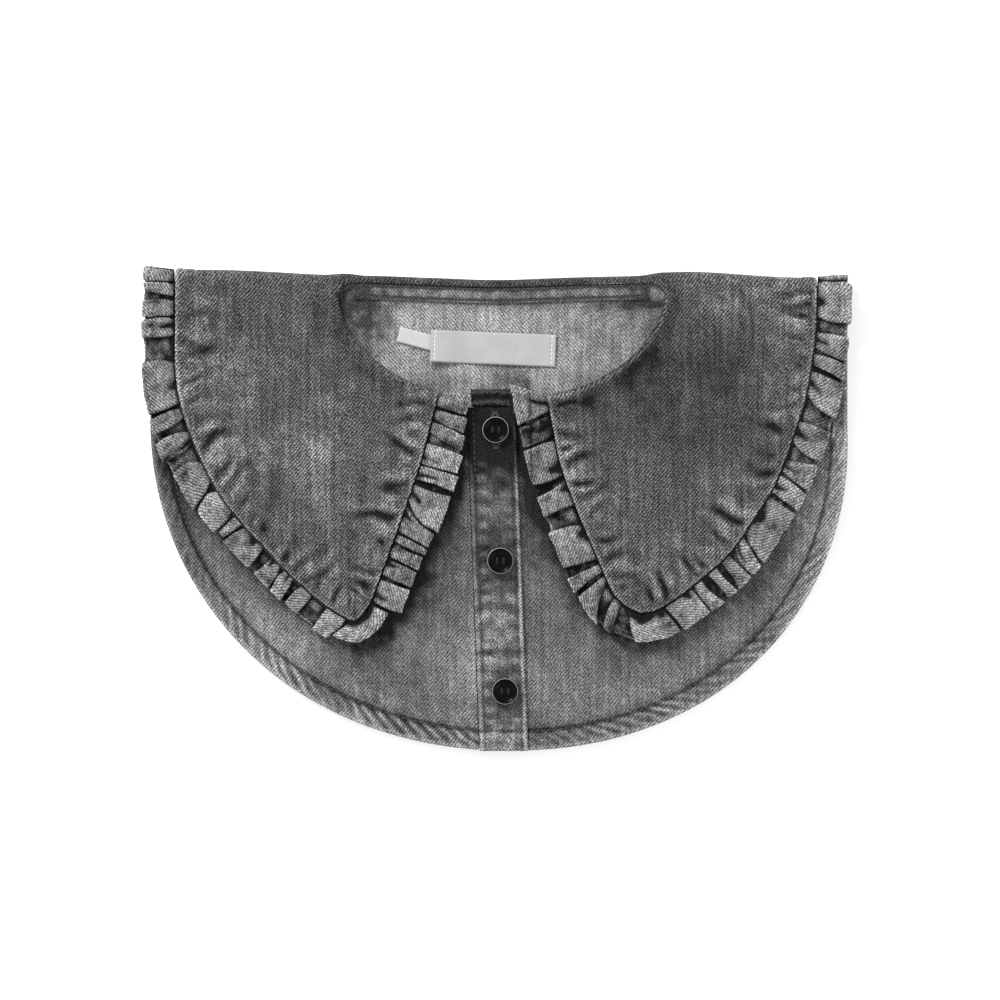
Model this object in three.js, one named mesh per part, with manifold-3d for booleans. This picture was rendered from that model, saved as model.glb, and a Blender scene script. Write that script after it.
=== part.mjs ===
// A child's ruffle collar: a buttoned bib of washed denim with two pointed leaves that a gathered frill edges.
// It lies flat on its back with its front face up, as it does on a table.
// Millimetres, +Z up, +X to the right of the wearer's picture, +Y towards the shoulders.
// While it is built, Y is 0 at the shoulder fold and X is 0 near the middle of the neck.
import * as THREE from "three";
import { mergeVertices } from "three/addons/utils/BufferGeometryUtils.js";
import Module from "manifold-3d";

const wasm = await Module();
wasm.setup();

// Cloths and the room between them
const CLOTH = 1.2; // one layer of denim
const HEM_CLOTH = 1.8; // the turned hem, pressed
const COLLAR_CLOTH = 2.0; // the collar's two layers
const FRILL_CLOTH = 1.2; // the frill's folded strip
const UNDER_BAND_CLOTH = 1.4; // the lower button band
const UPPER_BAND_CLOTH = 1.8; // the upper button band
const TRIM_CLOTH = 1.0; // tape, label and tab
const GAP = 0.5; // between cloths that lie on each other
const SEAM = 0.3; // between cloths that are sewn edge to edge
const REST_REACH = 5; // how far round a point the cloth below lifts what lies on it

// The bib
const BIB_CENTRE = 1; // its middle, right of the neck's
const BIB_HALF_WIDTH = 146.2;
const BIB_SIDE = 61.3; // straight side below the shoulder
const BIB_ROUND_DEPTH = 134.8; // from there to the lowest point
const BIB_ROUNDNESS = 2.1; // exponent of the outline, 2 is an ellipse
const BIB_TURN = THREE.MathUtils.degToRad(2.1); // the hanging part swings to the right
const OUTLINE_ARC = 1.3; // length of the round part, over the sum of its half width and depth
const HEM_WIDTH = 8;
const HEM_STEP = 0.8; // width of the step from cloth to hem
const BACK_INSET = 0.6; // how far the back's edge stays inside the front's

// The shoulder fold rises and dips a little from side to side
const FOLD_WAVE = 3;
const WAVE_FADE = 50; // distance from the fold at which it has died away
const SHOULDER_WAVE = [
  { across: -1.0, rise: 0.5 },
  { across: -0.78, rise: 0.45 },
  { across: -0.5, rise: -0.05 },
  { across: -0.4, rise: 0.35 },
  { across: -0.2, rise: 0.05 },
  { across: 0.0, rise: -0.27 },
  { across: 0.2, rise: 0.05 },
  { across: 0.42, rise: 0.3 },
  { across: 0.55, rise: 0.3 },
  { across: 0.82, rise: -0.55 },
  { across: 1.0, rise: -0.7 },
];

// The neck, whose edge is the rolled fold of the collar
const NECK_CENTRE = 2;
const NECK_HALF_WIDTH = 68.5;
const NECK_DEPTH = 47;
const NECK_TOP = 2.1; // widest point, below the shoulder fold
const NECK_TUCK = 2.8; // from the rolled edge to the bib's own neckline under it
const NECK_SEAM_DROP = 0.4; // the back neck seam, below the fold
const NECK_SEAM_ROOM = 0.6; // from that seam to the edges of the back and the tape
const NECK_FALL = 10.5; // distance from the fold at which the collar starts to come down to that seam
const NECK_CORNER_RUN = 8; // length of back neck over which the roll becomes flat
const NECK_CORNER_START = 1; // from the neck's widest point to the first line over the fold
const NECK_SEAM_FADE = 0.82; // share of the half width at which the back neck seam starts to rise
const BACK_ROLL_HEIGHT = 4.4; // middle of the collar cloth over the back neck seam

// The collar. Its leaves are alike but not the same.
const BACK_COLLAR_DEPTH = 75;
const BACK_COLLAR_ROUNDNESS = 2.5;
const LEAVES = {
  left: { side: -1, cornerX: 24.2, cornerY: -45.3, tipX: 59.4, tipY: -141.5, span: 134.6, bow: 3.9 },
  right: { side: 1, cornerX: 21.2, cornerY: -46.6, tipX: 60.3, tipY: -138.1, span: 134.2, bow: 8.2 },
};
// Outer seam of a leaf, from the shoulder to the tip: down is a share of its drop, left and right are how far the
// seam has come in, as shares of the way from the widest point to the tip.
const OUTER_SEAM = [
  { down: 0, left: 0, right: 0 },
  { down: 0.166, left: 0, right: 0.011 },
  { down: 0.255, left: 0, right: 0.034 },
  { down: 0.353, left: 0.028, right: 0.068 },
  { down: 0.469, left: 0.101, right: 0.137 },
  { down: 0.608, left: 0.229, right: 0.236 },
  { down: 0.718, left: 0.386, right: 0.364 },
  { down: 0.784, left: 0.503, right: 0.444 },
  { down: 0.849, left: 0.614, right: 0.552 },
  { down: 0.893, left: 0.703, right: 0.648 },
  { down: 0.923, left: 0.765, right: 0.716 },
  { down: 0.962, left: 0.86, right: 0.813 },
  { down: 0.992, left: 0.955, right: 0.915 },
  { down: 1, left: 1, right: 1 },
];
// Front edge of a leaf: how far it bows towards the placket, as a share of the leaf's bow.
const FRONT_BOW = [
  { along: 0, bow: 0 },
  { along: 0.15, bow: 0.42 },
  { along: 0.3, bow: 0.8 },
  { along: 0.5, bow: 0.98 },
  { along: 0.75, bow: 1 },
  { along: 0.9, bow: 0.95 },
  { along: 0.97, bow: 0.55 },
  { along: 1, bow: 0 },
];
// Section of the rolled neck edge: out is from the edge, rise is above the flat leaf, both shares of ROLL_WIDTH.
const ROLL_WIDTH = 10;
const NECK_ROLL = [
  { out: 0.1, rise: -0.28 },
  { out: 0.115, rise: -0.06 },
  { out: 0.19, rise: 0.07 },
  { out: 0.42, rise: 0.12 },
  { out: 0.8, rise: 0.08 },
  { out: 1.4, rise: 0.02 },
];
const LEAF_ROWS = [0.4, 0.66, 0.87, 1]; // shares of the way from the neck to the outer seam
const LEAF_STATIONS = [1, 0.992, 0.962, 0.915, 0.86, 0.79, 0.7, 0.59, 0.46, 0.34, 0.2, 0.06]; // shares of the drop
const FIRST_BACK_ROW = 0.24; // at the back the first row lies closer to the roll
const ROLL_SLANT = 0.12; // share of the way to the outer seam that the roll takes at the back
const FOLD_LINES = 4; // facets over the shoulder fold
const BACK_LINES = 8; // facets from the shoulder to the middle of the back
const CLOTH_ROWS = [0, 0.14, 0.28, 0.41, 0.54, 0.67, 0.82]; // shares of the way from the neck to the hem
const FRONT_LINES = 14;
const BAND_LINES = 14;
const TRIM_STEPS = 10;
const TAPE_STEPS = 12;

// The frill. Lengths in the tables are shares of a common pitch, which makes the pleats fill their seam, about
// 11 mm. Reach is a share of FRILL_WIDTH, and lift of PLEAT_RISE. A face is the pleat that shows, a gap the dark
// tuck behind it, spread is what the face gains at each side on its way out, and skew is how far its outer end
// shifts along the seam.
const FRILL_WIDTH = 13;
const SEAM_RISE = 1.8; // height of a pleat at the seam
const PLEAT_RISE = 1.6; // what it gains at the outer edge
const TUCK = 1.4; // how far a pleat's sides fold back under it
const TUCK_ROOM = 2.2; // cloth left between two tucks
const LEAST_SLIT = 0.5; // narrowest slit between two faces
const FACE_CROWN = 0.3;
const WIDE_FACE = 1.06; // wider faces are curved with more facets
const FRILL_SEAM = 0.8; // from the leaf's edge to the frill
const TUCK_REACH = 0.92; // the tucks stay a little short of the faces
const FRILL_ROWS = [0, 0.45, 1];
const UNDER_SQUEEZE = 0.58; // the frill is pressed flatter where the bib lies on it
const FRILL_PAST_FOLD = 2; // the front frills end just past the shoulder fold
const SEAM_STEPS = 48;
const NORMAL_REACH = 4; // length of seam over which its direction is measured
const MITRE_LIMIT = 0.55; // cosine of half of the sharpest turn that keeps its full mitre
const LEFT_PLEATS = [
  { face: 0.42, gap: 0.16, spread: 0.0, skew: 0.15, reach: 1.12, lift: 0.6 },
  { face: 0.29, gap: 0.16, spread: 0.02, skew: 0.25, reach: 1.15, lift: 0.9 },
  { face: 0.62, gap: 0.46, spread: 0.06, skew: 0.3, reach: 1.15, lift: 1.1 },
  { face: 0.54, gap: 0.16, spread: 0.0, skew: 0.3, reach: 1.1, lift: 0.7 },
  { face: 0.54, gap: 0.16, spread: 0.02, skew: 0.12, reach: 1.05, lift: 1.0 },
  { face: 0.73, gap: 0.4, spread: 0.1, skew: 0.1, reach: 1.1, lift: 1.3 },
  { face: 0.88, gap: 0.18, spread: 0.03, skew: 0.25, reach: 1.05, lift: 1.0 },
  { face: 0.25, gap: 0.16, spread: 0.0, skew: 0.15, reach: 1.0, lift: 0.6 },
  { face: 0.33, gap: 0.16, spread: 0.0, skew: 0.2, reach: 1.0, lift: 0.7 },
  { face: 0.72, gap: 0.16, spread: 0.03, skew: 0.25, reach: 1.0, lift: 1.0 },
  { face: 0.54, gap: 0.54, spread: 0.14, skew: 0.2, reach: 0.98, lift: 1.0 },
  { face: 0.54, gap: 0.5, spread: 0.08, skew: 0.1, reach: 0.95, lift: 0.7 },
  { face: 1.08, gap: 0.8, spread: 0.1, skew: 0.0, reach: 0.9, lift: 1.5 },
  { face: 0.58, gap: 0.32, spread: 0.05, skew: -0.05, reach: 0.88, lift: 1.1 },
  { face: 0.54, gap: 0.19, spread: 0.02, skew: -0.12, reach: 0.9, lift: 1.1 },
  { face: 0.42, gap: 0.46, spread: 0.02, skew: -0.1, reach: 0.9, lift: 0.4 },
  { face: 1.15, gap: 0.23, spread: -0.02, skew: 0.05, reach: 0.9, lift: 1.3 },
  { face: 0.31, gap: 0.23, spread: -0.02, skew: -0.1, reach: 0.75, lift: 0.2 },
  { face: 1.0, gap: 0.75, spread: 0.06, skew: -0.25, reach: 0.95, lift: 1.3 },
  { face: 0.46, gap: 0.74, spread: 0.16, skew: -0.3, reach: 1.05, lift: 1.2 },
  { face: 0.45, gap: 0.69, spread: 0.1, skew: -0.3, reach: 1.08, lift: 1.1 },
  { face: 0.29, gap: 0.2, spread: 0.0, skew: -0.25, reach: 1.08, lift: 0.9 },
  { face: 0.31, gap: 0.23, spread: 0.0, skew: -0.2, reach: 1.05, lift: 0.5 },
  { face: 0.62, gap: 0.3, spread: 0.03, skew: -0.15, reach: 1.05, lift: 1.0 },
  { face: 0.65, gap: 0.31, spread: 0.0, skew: -0.05, reach: 1.08, lift: 0.4 },
  { face: 0.58, gap: 0.16, spread: 0.0, skew: 0.0, reach: 1.02, lift: 1.2 },
  { face: 0.54, gap: 0.16, spread: 0.0, skew: 0.0, reach: 1.1, lift: 0.9 },
  { face: 0.31, gap: 0.34, spread: 0.03, skew: 0.0, reach: 1.08, lift: 1.0 },
  { face: 0.31, gap: 0.16, spread: 0.0, skew: 0.0, reach: 0.98, lift: 0.6 },
  { face: 0.75, gap: 0.2, spread: 0.0, skew: 0.0, reach: 1.0, lift: 0.6 },
];
const RIGHT_PLEATS = [
  { face: 0.6, gap: 0.18, spread: 0.02, skew: 0.1, reach: 1.05, lift: 1.2 },
  { face: 0.62, gap: 0.18, spread: -0.02, skew: 0.2, reach: 1.0, lift: 0.2 },
  { face: 1.33, gap: 0.17, spread: -0.12, skew: 0.05, reach: 0.95, lift: 1.2 },
  { face: 1.08, gap: 0.77, spread: -0.12, skew: 0.2, reach: 0.95, lift: 1.1 },
  { face: 1.27, gap: 0.46, spread: 0.08, skew: -0.05, reach: 1.02, lift: 1.2 },
  { face: 0.3, gap: 0.16, spread: 0.03, skew: 0.1, reach: 1.0, lift: 1.0 },
  { face: 0.33, gap: 0.19, spread: 0.03, skew: 0.2, reach: 1.0, lift: 1.3 },
  { face: 0.46, gap: 0.54, spread: 0.08, skew: 0.1, reach: 0.95, lift: 0.4 },
  { face: 1.3, gap: 0.16, spread: 0.02, skew: 0.0, reach: 0.92, lift: 1.5 },
  { face: 1.27, gap: 0.16, spread: 0.0, skew: -0.05, reach: 1.0, lift: 1.0 },
  { face: 0.38, gap: 0.3, spread: 0.06, skew: -0.15, reach: 1.0, lift: 1.2 },
  { face: 0.54, gap: 0.19, spread: 0.03, skew: -0.15, reach: 1.0, lift: 0.7 },
  { face: 0.73, gap: 0.19, spread: 0.03, skew: -0.3, reach: 1.0, lift: 1.0 },
  { face: 0.65, gap: 0.19, spread: 0.02, skew: -0.5, reach: 1.0, lift: 1.0 },
  { face: 1.65, gap: 0.19, spread: -0.05, skew: -0.5, reach: 1.0, lift: 0.8 },
  { face: 0.62, gap: 0.19, spread: 0.03, skew: -0.35, reach: 1.0, lift: 1.1 },
  { face: 0.69, gap: 0.65, spread: 0.0, skew: -0.4, reach: 1.0, lift: 0.7 },
  { face: 0.65, gap: 0.77, spread: 0.26, skew: -0.3, reach: 1.1, lift: 1.3 },
  { face: 1.0, gap: 0.16, spread: 0.0, skew: -0.5, reach: 1.05, lift: 1.0 },
  { face: 0.65, gap: 0.16, spread: 0.0, skew: -0.45, reach: 1.05, lift: 0.9 },
  { face: 0.65, gap: 0.6, spread: 0.1, skew: -0.3, reach: 1.08, lift: 1.1 },
  { face: 1.15, gap: 0.16, spread: 0.02, skew: -0.05, reach: 1.08, lift: 1.2 },
  { face: 0.75, gap: 0.2, spread: 0.0, skew: 0.0, reach: 1.02, lift: 0.6 },
];
// The back frill can't be seen, so three plain pleats repeat.
const BACK_PLEATS = [
  { face: 1.05, gap: 0.55, spread: 0.08, skew: 0.05, reach: 1.0, lift: 0.25 },
  { face: 0.85, gap: 0.6, spread: 0.1, skew: -0.05, reach: 0.97, lift: 0.2 },
  { face: 1.0, gap: 0.65, spread: 0.06, skew: 0.0, reach: 1.02, lift: 0.25 },
];
const BACK_PLEAT_REPEATS = 7;

// How the layers at the back lift the bib: reach is measured in widths of the back collar, lift is a share of the
// back frill's height.
const BACK_FRILL_HEIGHT = 3.4;
const BACK_LIFT = [
  { reach: 0, share: 0.62 },
  { reach: 0.5, share: 0.62 },
  { reach: 0.78, share: 1 },
  { reach: 1.28, share: 1 },
  { reach: 1.9, share: 0 },
  { reach: 9, share: 0 },
];

// The button bands
const BAND_WIDTH = 20.5;
const BAND_CENTRE = -1.9; // their middle at the first button
const BAND_OVERHANG = 1; // how far the upper band hides the lower one's edge
const BAND_CROWN = 0.3;
const BAND_STEP = 1.5; // the left front rises to meet the upper band
const BAND_STEP_RUN = 8;
const BINDING_HEIGHT = 7.4;
const BINDING_WIDTH = 16.5;
const BINDING_CLOTH = 2.2;
const BUTTON_COUNT = 3;
const BUTTON_PITCH = 54.8;
const BUTTON_OFFSET = 1.5; // right of the band's middle
const BUTTONHOLE_LENGTH = 15.5;
const BUTTONHOLE_WIDTH = 1.2;
const BUTTON_DIAMETER = 11.5;
const BUTTON_THICKNESS = 2.6;
const BUTTON_RIM_WIDTH = 1.3;
const BUTTON_DISH = 0.8; // depth of the face inside the rim
const BUTTON_HOLE_DIAMETER = 1.5;
const BUTTON_HOLE_PITCH = 2.7; // between the middles of neighbouring holes
const BUTTON_SIDES = 20;
const SHANK_WIDTH = 0.6; // thread shank, inside the buttonhole
const SHANK_LENGTH = 3; // along the buttonhole
const SHANK_OVERLAP = 0.4; // the thread reaches into the button
const CUT_LENGTH = 40; // holes are cut with tools longer than anything here is thick

// Inside the back neck
const TAPE_WIDTH = 6.3;
const TAPE_HALF_LENGTH = 61.5;
const LABEL_WIDTH = 52.8;
const LABEL_HEIGHT = 13.6;
const LABEL_X = -1.4;
const LABEL_DROP = 27; // its middle, below the shoulder fold
const LABEL_TURN = THREE.MathUtils.degToRad(-2.3);
const TAB_LENGTH = 17;
const TAB_WIDTH = 6.6;
const TAB_TURN = THREE.MathUtils.degToRad(-15);
const TAB_UNDER_LABEL = 3;
const TAB_ABOVE_MIDDLE = 0.12; // of the label's height, where the tab comes out from under it
const LABEL_RAMP = { start: 0.08, end: 0.3 }; // shares of the label's width over which it comes down off the tab

// Small helpers
const mix = THREE.MathUtils.lerp;
const clamp = THREE.MathUtils.clamp;
const smooth = (value, from, to) => THREE.MathUtils.smoothstep(value, from, to);

// Reads a column of a table at a value of its first column, on a smooth curve through the rows.
function readTable(table, key, column, value) {
  let i = 0;
  while (i < table.length - 2 && table[i + 1][key] < value) i += 1;
  const [a, b] = [table[i], table[i + 1]];
  const before = table[i - 1] ?? a;
  const after = table[i + 2] ?? b;
  const slope = (p, q) => (q[column] - p[column]) / Math.max(q[key] - p[key], 1e-9);
  const middle = slope(a, b);
  const limit = (m) => (m * middle <= 0 ? 0 : Math.sign(m) * Math.min(Math.abs(m), 3 * Math.abs(middle)));
  const startSlope = limit(slope(before, b));
  const endSlope = limit(slope(a, after));
  const width = b[key] - a[key];
  const t = clamp((value - a[key]) / width, 0, 1);
  return (
    (2 * t ** 3 - 3 * t ** 2 + 1) * a[column] +
    (t ** 3 - 2 * t ** 2 + t) * width * startSlope +
    (3 * t ** 2 - 2 * t ** 3) * b[column] +
    (t ** 3 - t ** 2) * width * endSlope
  );
}

// Where things lie
const foldY = (x, away) =>
  FOLD_WAVE * readTable(SHOULDER_WAVE, "across", "rise", x / BIB_HALF_WIDTH) * (1 - smooth(away, 0, WAVE_FADE));
const bibSway = (y) => Math.tan(BIB_TURN) * Math.max(0, -BIB_SIDE - y);
const bandMiddle = (y) => BAND_CENTRE + Math.tan(BIB_TURN) * (-BIB_SIDE - y);
const neckBottom = -NECK_TOP - NECK_DEPTH;
const bibNeckBottom = neckBottom - NECK_TUCK;

// A point of the bib's outline: along runs from 0 at the left shoulder to 1 at the right one.
function outlinePoint(along) {
  const halfWidth = BIB_HALF_WIDTH;
  const depth = BIB_ROUND_DEPTH;
  const arcLength = OUTLINE_ARC * (halfWidth + depth);
  const total = 2 * BIB_SIDE + arcLength;
  const distance = Math.min(along, 1 - along) * total;
  const side = along < 0.5 ? -1 : 1;
  if (distance <= BIB_SIDE) return { x: BIB_CENTRE + side * halfWidth, y: -distance };
  const angle = ((distance - BIB_SIDE) / (arcLength / 2)) * (Math.PI / 2);
  const x = halfWidth * Math.cos(angle) ** (2 / BIB_ROUNDNESS);
  const y = -BIB_SIDE - depth * Math.sin(angle) ** (2 / BIB_ROUNDNESS);
  return { x: BIB_CENTRE + side * x + bibSway(y), y };
}

// How far a point lies inside the bib's outline, measured on the ray from the outline's centre.
function insideOutline(x, y) {
  const across = x - BIB_CENTRE - bibSway(y);
  const down = Math.max(0, -BIB_SIDE - y);
  const size = Math.hypot(across, down);
  if (size < 1) return BIB_HALF_WIDTH;
  const ratio =
    ((Math.abs(across) / BIB_HALF_WIDTH) ** BIB_ROUNDNESS + (down / BIB_ROUND_DEPTH) ** BIB_ROUNDNESS) **
    (1 / BIB_ROUNDNESS);
  return size / ratio - size;
}

// Heights of the layers, from the table up
const spanMean = (LEAVES.left.span + LEAVES.right.span) / 2;
function backLift(x, y) {
  const reach =
    ((Math.abs(x) / spanMean) ** BACK_COLLAR_ROUNDNESS +
      (Math.max(0, -y) / BACK_COLLAR_DEPTH) ** BACK_COLLAR_ROUNDNESS) **
    (1 / BACK_COLLAR_ROUNDNESS);
  const share = readTable(BACK_LIFT, "reach", "share", reach);
  return share * (BACK_FRILL_HEIGHT + GAP);
}
const hemShare = (inside) => 1 - smooth(inside, HEM_WIDTH, HEM_WIDTH + HEM_STEP);
const panelCloth = (x, y) => mix(CLOTH, HEM_CLOTH, hemShare(insideOutline(x, y)));
function highestNear(height, x, y) {
  let top = height(x, y);
  for (let i = 0; i < 8; i += 1) {
    const angle = (i * Math.PI) / 4;
    top = Math.max(top, height(x + REST_REACH * Math.cos(angle), y + REST_REACH * Math.sin(angle)));
  }
  return top;
}
const backTop = (x, y) => backLift(x, y) + panelCloth(x, y);
const frontBottom = (x, y) => highestNear(backTop, x, y) + GAP;
const bandStep = (x, y) =>
  BAND_STEP * (1 - smooth(bandMiddle(y) - BAND_WIDTH / 2 - x, SEAM, BAND_STEP_RUN)) * (x < bandMiddle(y) ? 1 : 0);
const plainFrontTop = (x, y) => frontBottom(x, y) + bandStep(x, y) + panelCloth(x, y);
const underBandTop = (x, y) => frontBottom(x, y) + UNDER_BAND_CLOTH;
const upperBandTop = (x, y) => underBandTop(x, y) + GAP + UPPER_BAND_CLOTH;
const overBand = (x, y) => Math.abs(x - bandMiddle(y)) < BAND_WIDTH / 2 && y < neckBottom + BINDING_HEIGHT;
const frontTop = (x, y) => (overBand(x, y) ? upperBandTop(x, y) + BAND_CROWN : plainFrontTop(x, y));

// Heights of the collar's middle on top of the shoulder fold and under it
const collarUnder = COLLAR_CLOTH / 2;
const leafHeight = (x, y) => highestNear(frontTop, x, y) + GAP + COLLAR_CLOTH / 2;
const neckShare = (x) =>
  1 - smooth(Math.abs(x - NECK_CENTRE), NECK_HALF_WIDTH - 1.5 * NECK_CORNER_RUN, NECK_HALF_WIDTH);
const nearFold = (y) => smooth(y, -NECK_FALL, -NECK_SEAM_DROP);
const collarOver = (x, y) => mix(leafHeight(x, y), BACK_ROLL_HEIGHT, nearFold(y) * neckShare(x));
const foldRadius = (leafHeight(-spanMean / 2, 0) - collarUnder) / 2;
const foldLength = Math.PI * foldRadius;

// Takes a point of the flat pattern, where run is above 0 past the shoulder fold, to its place on the folded bib.
function foldOver(x, run, over, under) {
  if (run <= 0) return new THREE.Vector3(x, foldY(x, -run) + run, over);
  const past = run - foldLength;
  if (past >= 0) return new THREE.Vector3(x, foldY(x, past) - past, under);
  const angle = run / foldRadius;
  const radius = (over - under) / 2;
  const middle = (over + under) / 2;
  return new THREE.Vector3(x, foldY(x, 0) + radius * Math.sin(angle), middle + radius * Math.cos(angle));
}

// Mesh helpers
function meshOf(name, geometry, material) {
  const mesh = new THREE.Mesh(geometry, material);
  mesh.name = name;
  return mesh;
}

// A closed sheet between two grids of points with the same rows and columns.
function closedSheet(front, back) {
  const rows = front.length;
  const columns = front[0].length;
  const points = [...front.flat(), ...back.flat()];
  const at = (layer, i, j) => layer * rows * columns + i * columns + j;
  const faces = [];
  const quad = (a, b, c, d) => faces.push(a, b, c, a, c, d);
  for (let i = 0; i < rows - 1; i += 1) {
    for (let j = 0; j < columns - 1; j += 1) {
      quad(at(0, i, j), at(0, i, j + 1), at(0, i + 1, j + 1), at(0, i + 1, j));
      quad(at(1, i, j), at(1, i + 1, j), at(1, i + 1, j + 1), at(1, i, j + 1));
    }
    quad(at(0, i, 0), at(0, i + 1, 0), at(1, i + 1, 0), at(1, i, 0));
    quad(at(0, i + 1, columns - 1), at(0, i, columns - 1), at(1, i, columns - 1), at(1, i + 1, columns - 1));
  }
  for (let j = 0; j < columns - 1; j += 1) {
    quad(at(0, 0, j + 1), at(0, 0, j), at(1, 0, j), at(1, 0, j + 1));
    quad(at(0, rows - 1, j), at(0, rows - 1, j + 1), at(1, rows - 1, j + 1), at(1, rows - 1, j));
  }
  let volume = 0;
  for (let i = 0; i < faces.length; i += 3) {
    const [a, b, c] = [points[faces[i]], points[faces[i + 1]], points[faces[i + 2]]];
    volume += a.dot(new THREE.Vector3().crossVectors(b, c));
  }
  if (volume < 0) faces.reverse();
  const geometry = new THREE.BufferGeometry().setFromPoints(points);
  geometry.setIndex(faces);
  return geometry;
}

// A cloth that lies on the layer below: bottom and cloth give its height and thickness at each point of a grid.
function layer(grid, bottom, cloth) {
  const lower = grid.map((row, i) => row.map((p) => new THREE.Vector3(p.x, p.y, bottom(p.x, p.y, i))));
  const upper = grid.map((row, i) =>
    row.map((p, j) => lower[i][j].clone().setZ(lower[i][j].z + cloth(p.x, p.y, i, j))),
  );
  return closedSheet(upper, lower);
}

// Offsets a polyline of {along, height} points to one side, with mitred corners.
function offsetLine(line, distance) {
  return line.map((p, i) => {
    const before = line[Math.max(i - 1, 0)];
    const after = line[Math.min(i + 1, line.length - 1)];
    const first = new THREE.Vector2(p.along - before.along, p.height - before.height).normalize();
    const second = new THREE.Vector2(after.along - p.along, after.height - p.height).normalize();
    if (i === 0) first.copy(second);
    if (i === line.length - 1) second.copy(first);
    const normal = new THREE.Vector2(-first.y - second.y, first.x + second.x).normalize();
    const cosine = Math.max(normal.dot(new THREE.Vector2(-first.y, first.x)), MITRE_LIMIT);
    return {
      along: p.along + (normal.x * distance) / cosine,
      height: p.height + (normal.y * distance) / cosine,
    };
  });
}

function solidOf(geometry) {
  const bare = geometry.clone();
  bare.deleteAttribute("normal");
  bare.deleteAttribute("uv");
  const merged = mergeVertices(bare, 1e-4);
  const vertProperties = merged.attributes.position.array;
  const triVerts = new Uint32Array(merged.index.array);
  return new wasm.Manifold(new wasm.Mesh({ numProp: 3, vertProperties, triVerts }));
}

function geometryOf(solid) {
  const made = solid.getMesh();
  const geometry = new THREE.BufferGeometry();
  geometry.setAttribute("position", new THREE.BufferAttribute(made.vertProperties, 3));
  geometry.setIndex(new THREE.BufferAttribute(made.triVerts, 1));
  return geometry;
}

// The collar's edges in the flat pattern
function outerSeamPoint(leaf, column, down) {
  const inward = readTable(OUTER_SEAM, "down", column, down);
  return new THREE.Vector2(leaf.side * mix(leaf.span, leaf.tipX, inward), leaf.tipY * down);
}
function frontEdgePoint(leaf, along) {
  const bow = leaf.bow * readTable(FRONT_BOW, "along", "bow", along);
  const x = mix(leaf.cornerX, leaf.tipX, along) - bow;
  return new THREE.Vector2(leaf.side * x, mix(leaf.cornerY, leaf.tipY, along));
}
function neckPoint(leaf, share) {
  const centre = leaf.side * NECK_CENTRE;
  const cornerAngle = Math.acos((leaf.cornerX - centre) / NECK_HALF_WIDTH);
  const angle = cornerAngle * (1 - share);
  const x = centre + NECK_HALF_WIDTH * Math.cos(angle);
  const y = -NECK_TOP - NECK_DEPTH * Math.sin(angle);
  const cornerMiss = leaf.cornerY + NECK_TOP + NECK_DEPTH * Math.sin(cornerAngle);
  return new THREE.Vector2(leaf.side * x, y + cornerMiss * (1 - share) ** 3);
}
function backSeamPoint(leaf, share) {
  const angle = (share * Math.PI) / 2;
  const x = leaf.span * Math.cos(angle) ** (2 / BACK_COLLAR_ROUNDNESS);
  const down = BACK_COLLAR_DEPTH * Math.sin(angle) ** (2 / BACK_COLLAR_ROUNDNESS);
  return new THREE.Vector2(leaf.side * x, foldLength + down);
}

// One line of the collar from its neck edge to its outer seam, as points of the flat pattern with a rise.
function frontLine(leaf, column, share, down) {
  const start = neckPoint(leaf, share);
  const end = outerSeamPoint(leaf, column, down);
  const length = start.distanceTo(end);
  const outs = [...NECK_ROLL.map((row) => (row.out * ROLL_WIDTH) / length), ...LEAF_ROWS];
  return outs.map((out, j) => {
    const point = start.clone().lerp(end, out);
    const bow = frontEdgePoint(leaf, out).sub(frontEdgePoint({ ...leaf, bow: 0 }, out));
    point.addScaledVector(bow, (1 - share) ** 3);
    return { x: point.x, run: point.y, rise: (NECK_ROLL[j]?.rise ?? 0) * ROLL_WIDTH };
  });
}
function backLine(leaf, startX, end) {
  const rollEnd = Math.min(end.y, foldLength);
  const rollRows = NECK_ROLL.map((row, j) => {
    const share = j / (NECK_ROLL.length - 1);
    const x = mix(startX, startX + (end.x - startX) * ROLL_SLANT, share);
    return { x, run: mix(-NECK_SEAM_DROP, rollEnd, share), rise: j === 0 ? -1 : 0 };
  });
  const last = rollRows[rollRows.length - 1];
  const shares = [FIRST_BACK_ROW, ...LEAF_ROWS.slice(1)];
  const rest = shares.map((share) => ({
    x: mix(last.x, end.x, share),
    run: mix(last.run, end.y, share),
    rise: 0,
  }));
  return [...rollRows, ...rest];
}
function collarLines(column) {
  const leaf = LEAVES[column];
  const lines = LEAF_STATIONS.map((down, i) => frontLine(leaf, column, i / (LEAF_STATIONS.length - 0.5), down));
  const cornerX = NECK_HALF_WIDTH + leaf.side * NECK_CENTRE;
  for (let k = 0; k <= FOLD_LINES; k += 1) {
    const share = k / FOLD_LINES;
    const startX = leaf.side * (cornerX - NECK_CORNER_START - NECK_CORNER_RUN * mix(0.25, 1, share));
    lines.push(backLine(leaf, startX, new THREE.Vector2(leaf.side * leaf.span, share * foldLength)));
  }
  const firstX = leaf.side * (cornerX - NECK_CORNER_START - NECK_CORNER_RUN);
  for (let m = 1; m <= BACK_LINES; m += 1) {
    const share = m / BACK_LINES;
    lines.push(backLine(leaf, mix(firstX, 0, share), backSeamPoint(leaf, share)));
  }
  return lines;
}
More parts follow.
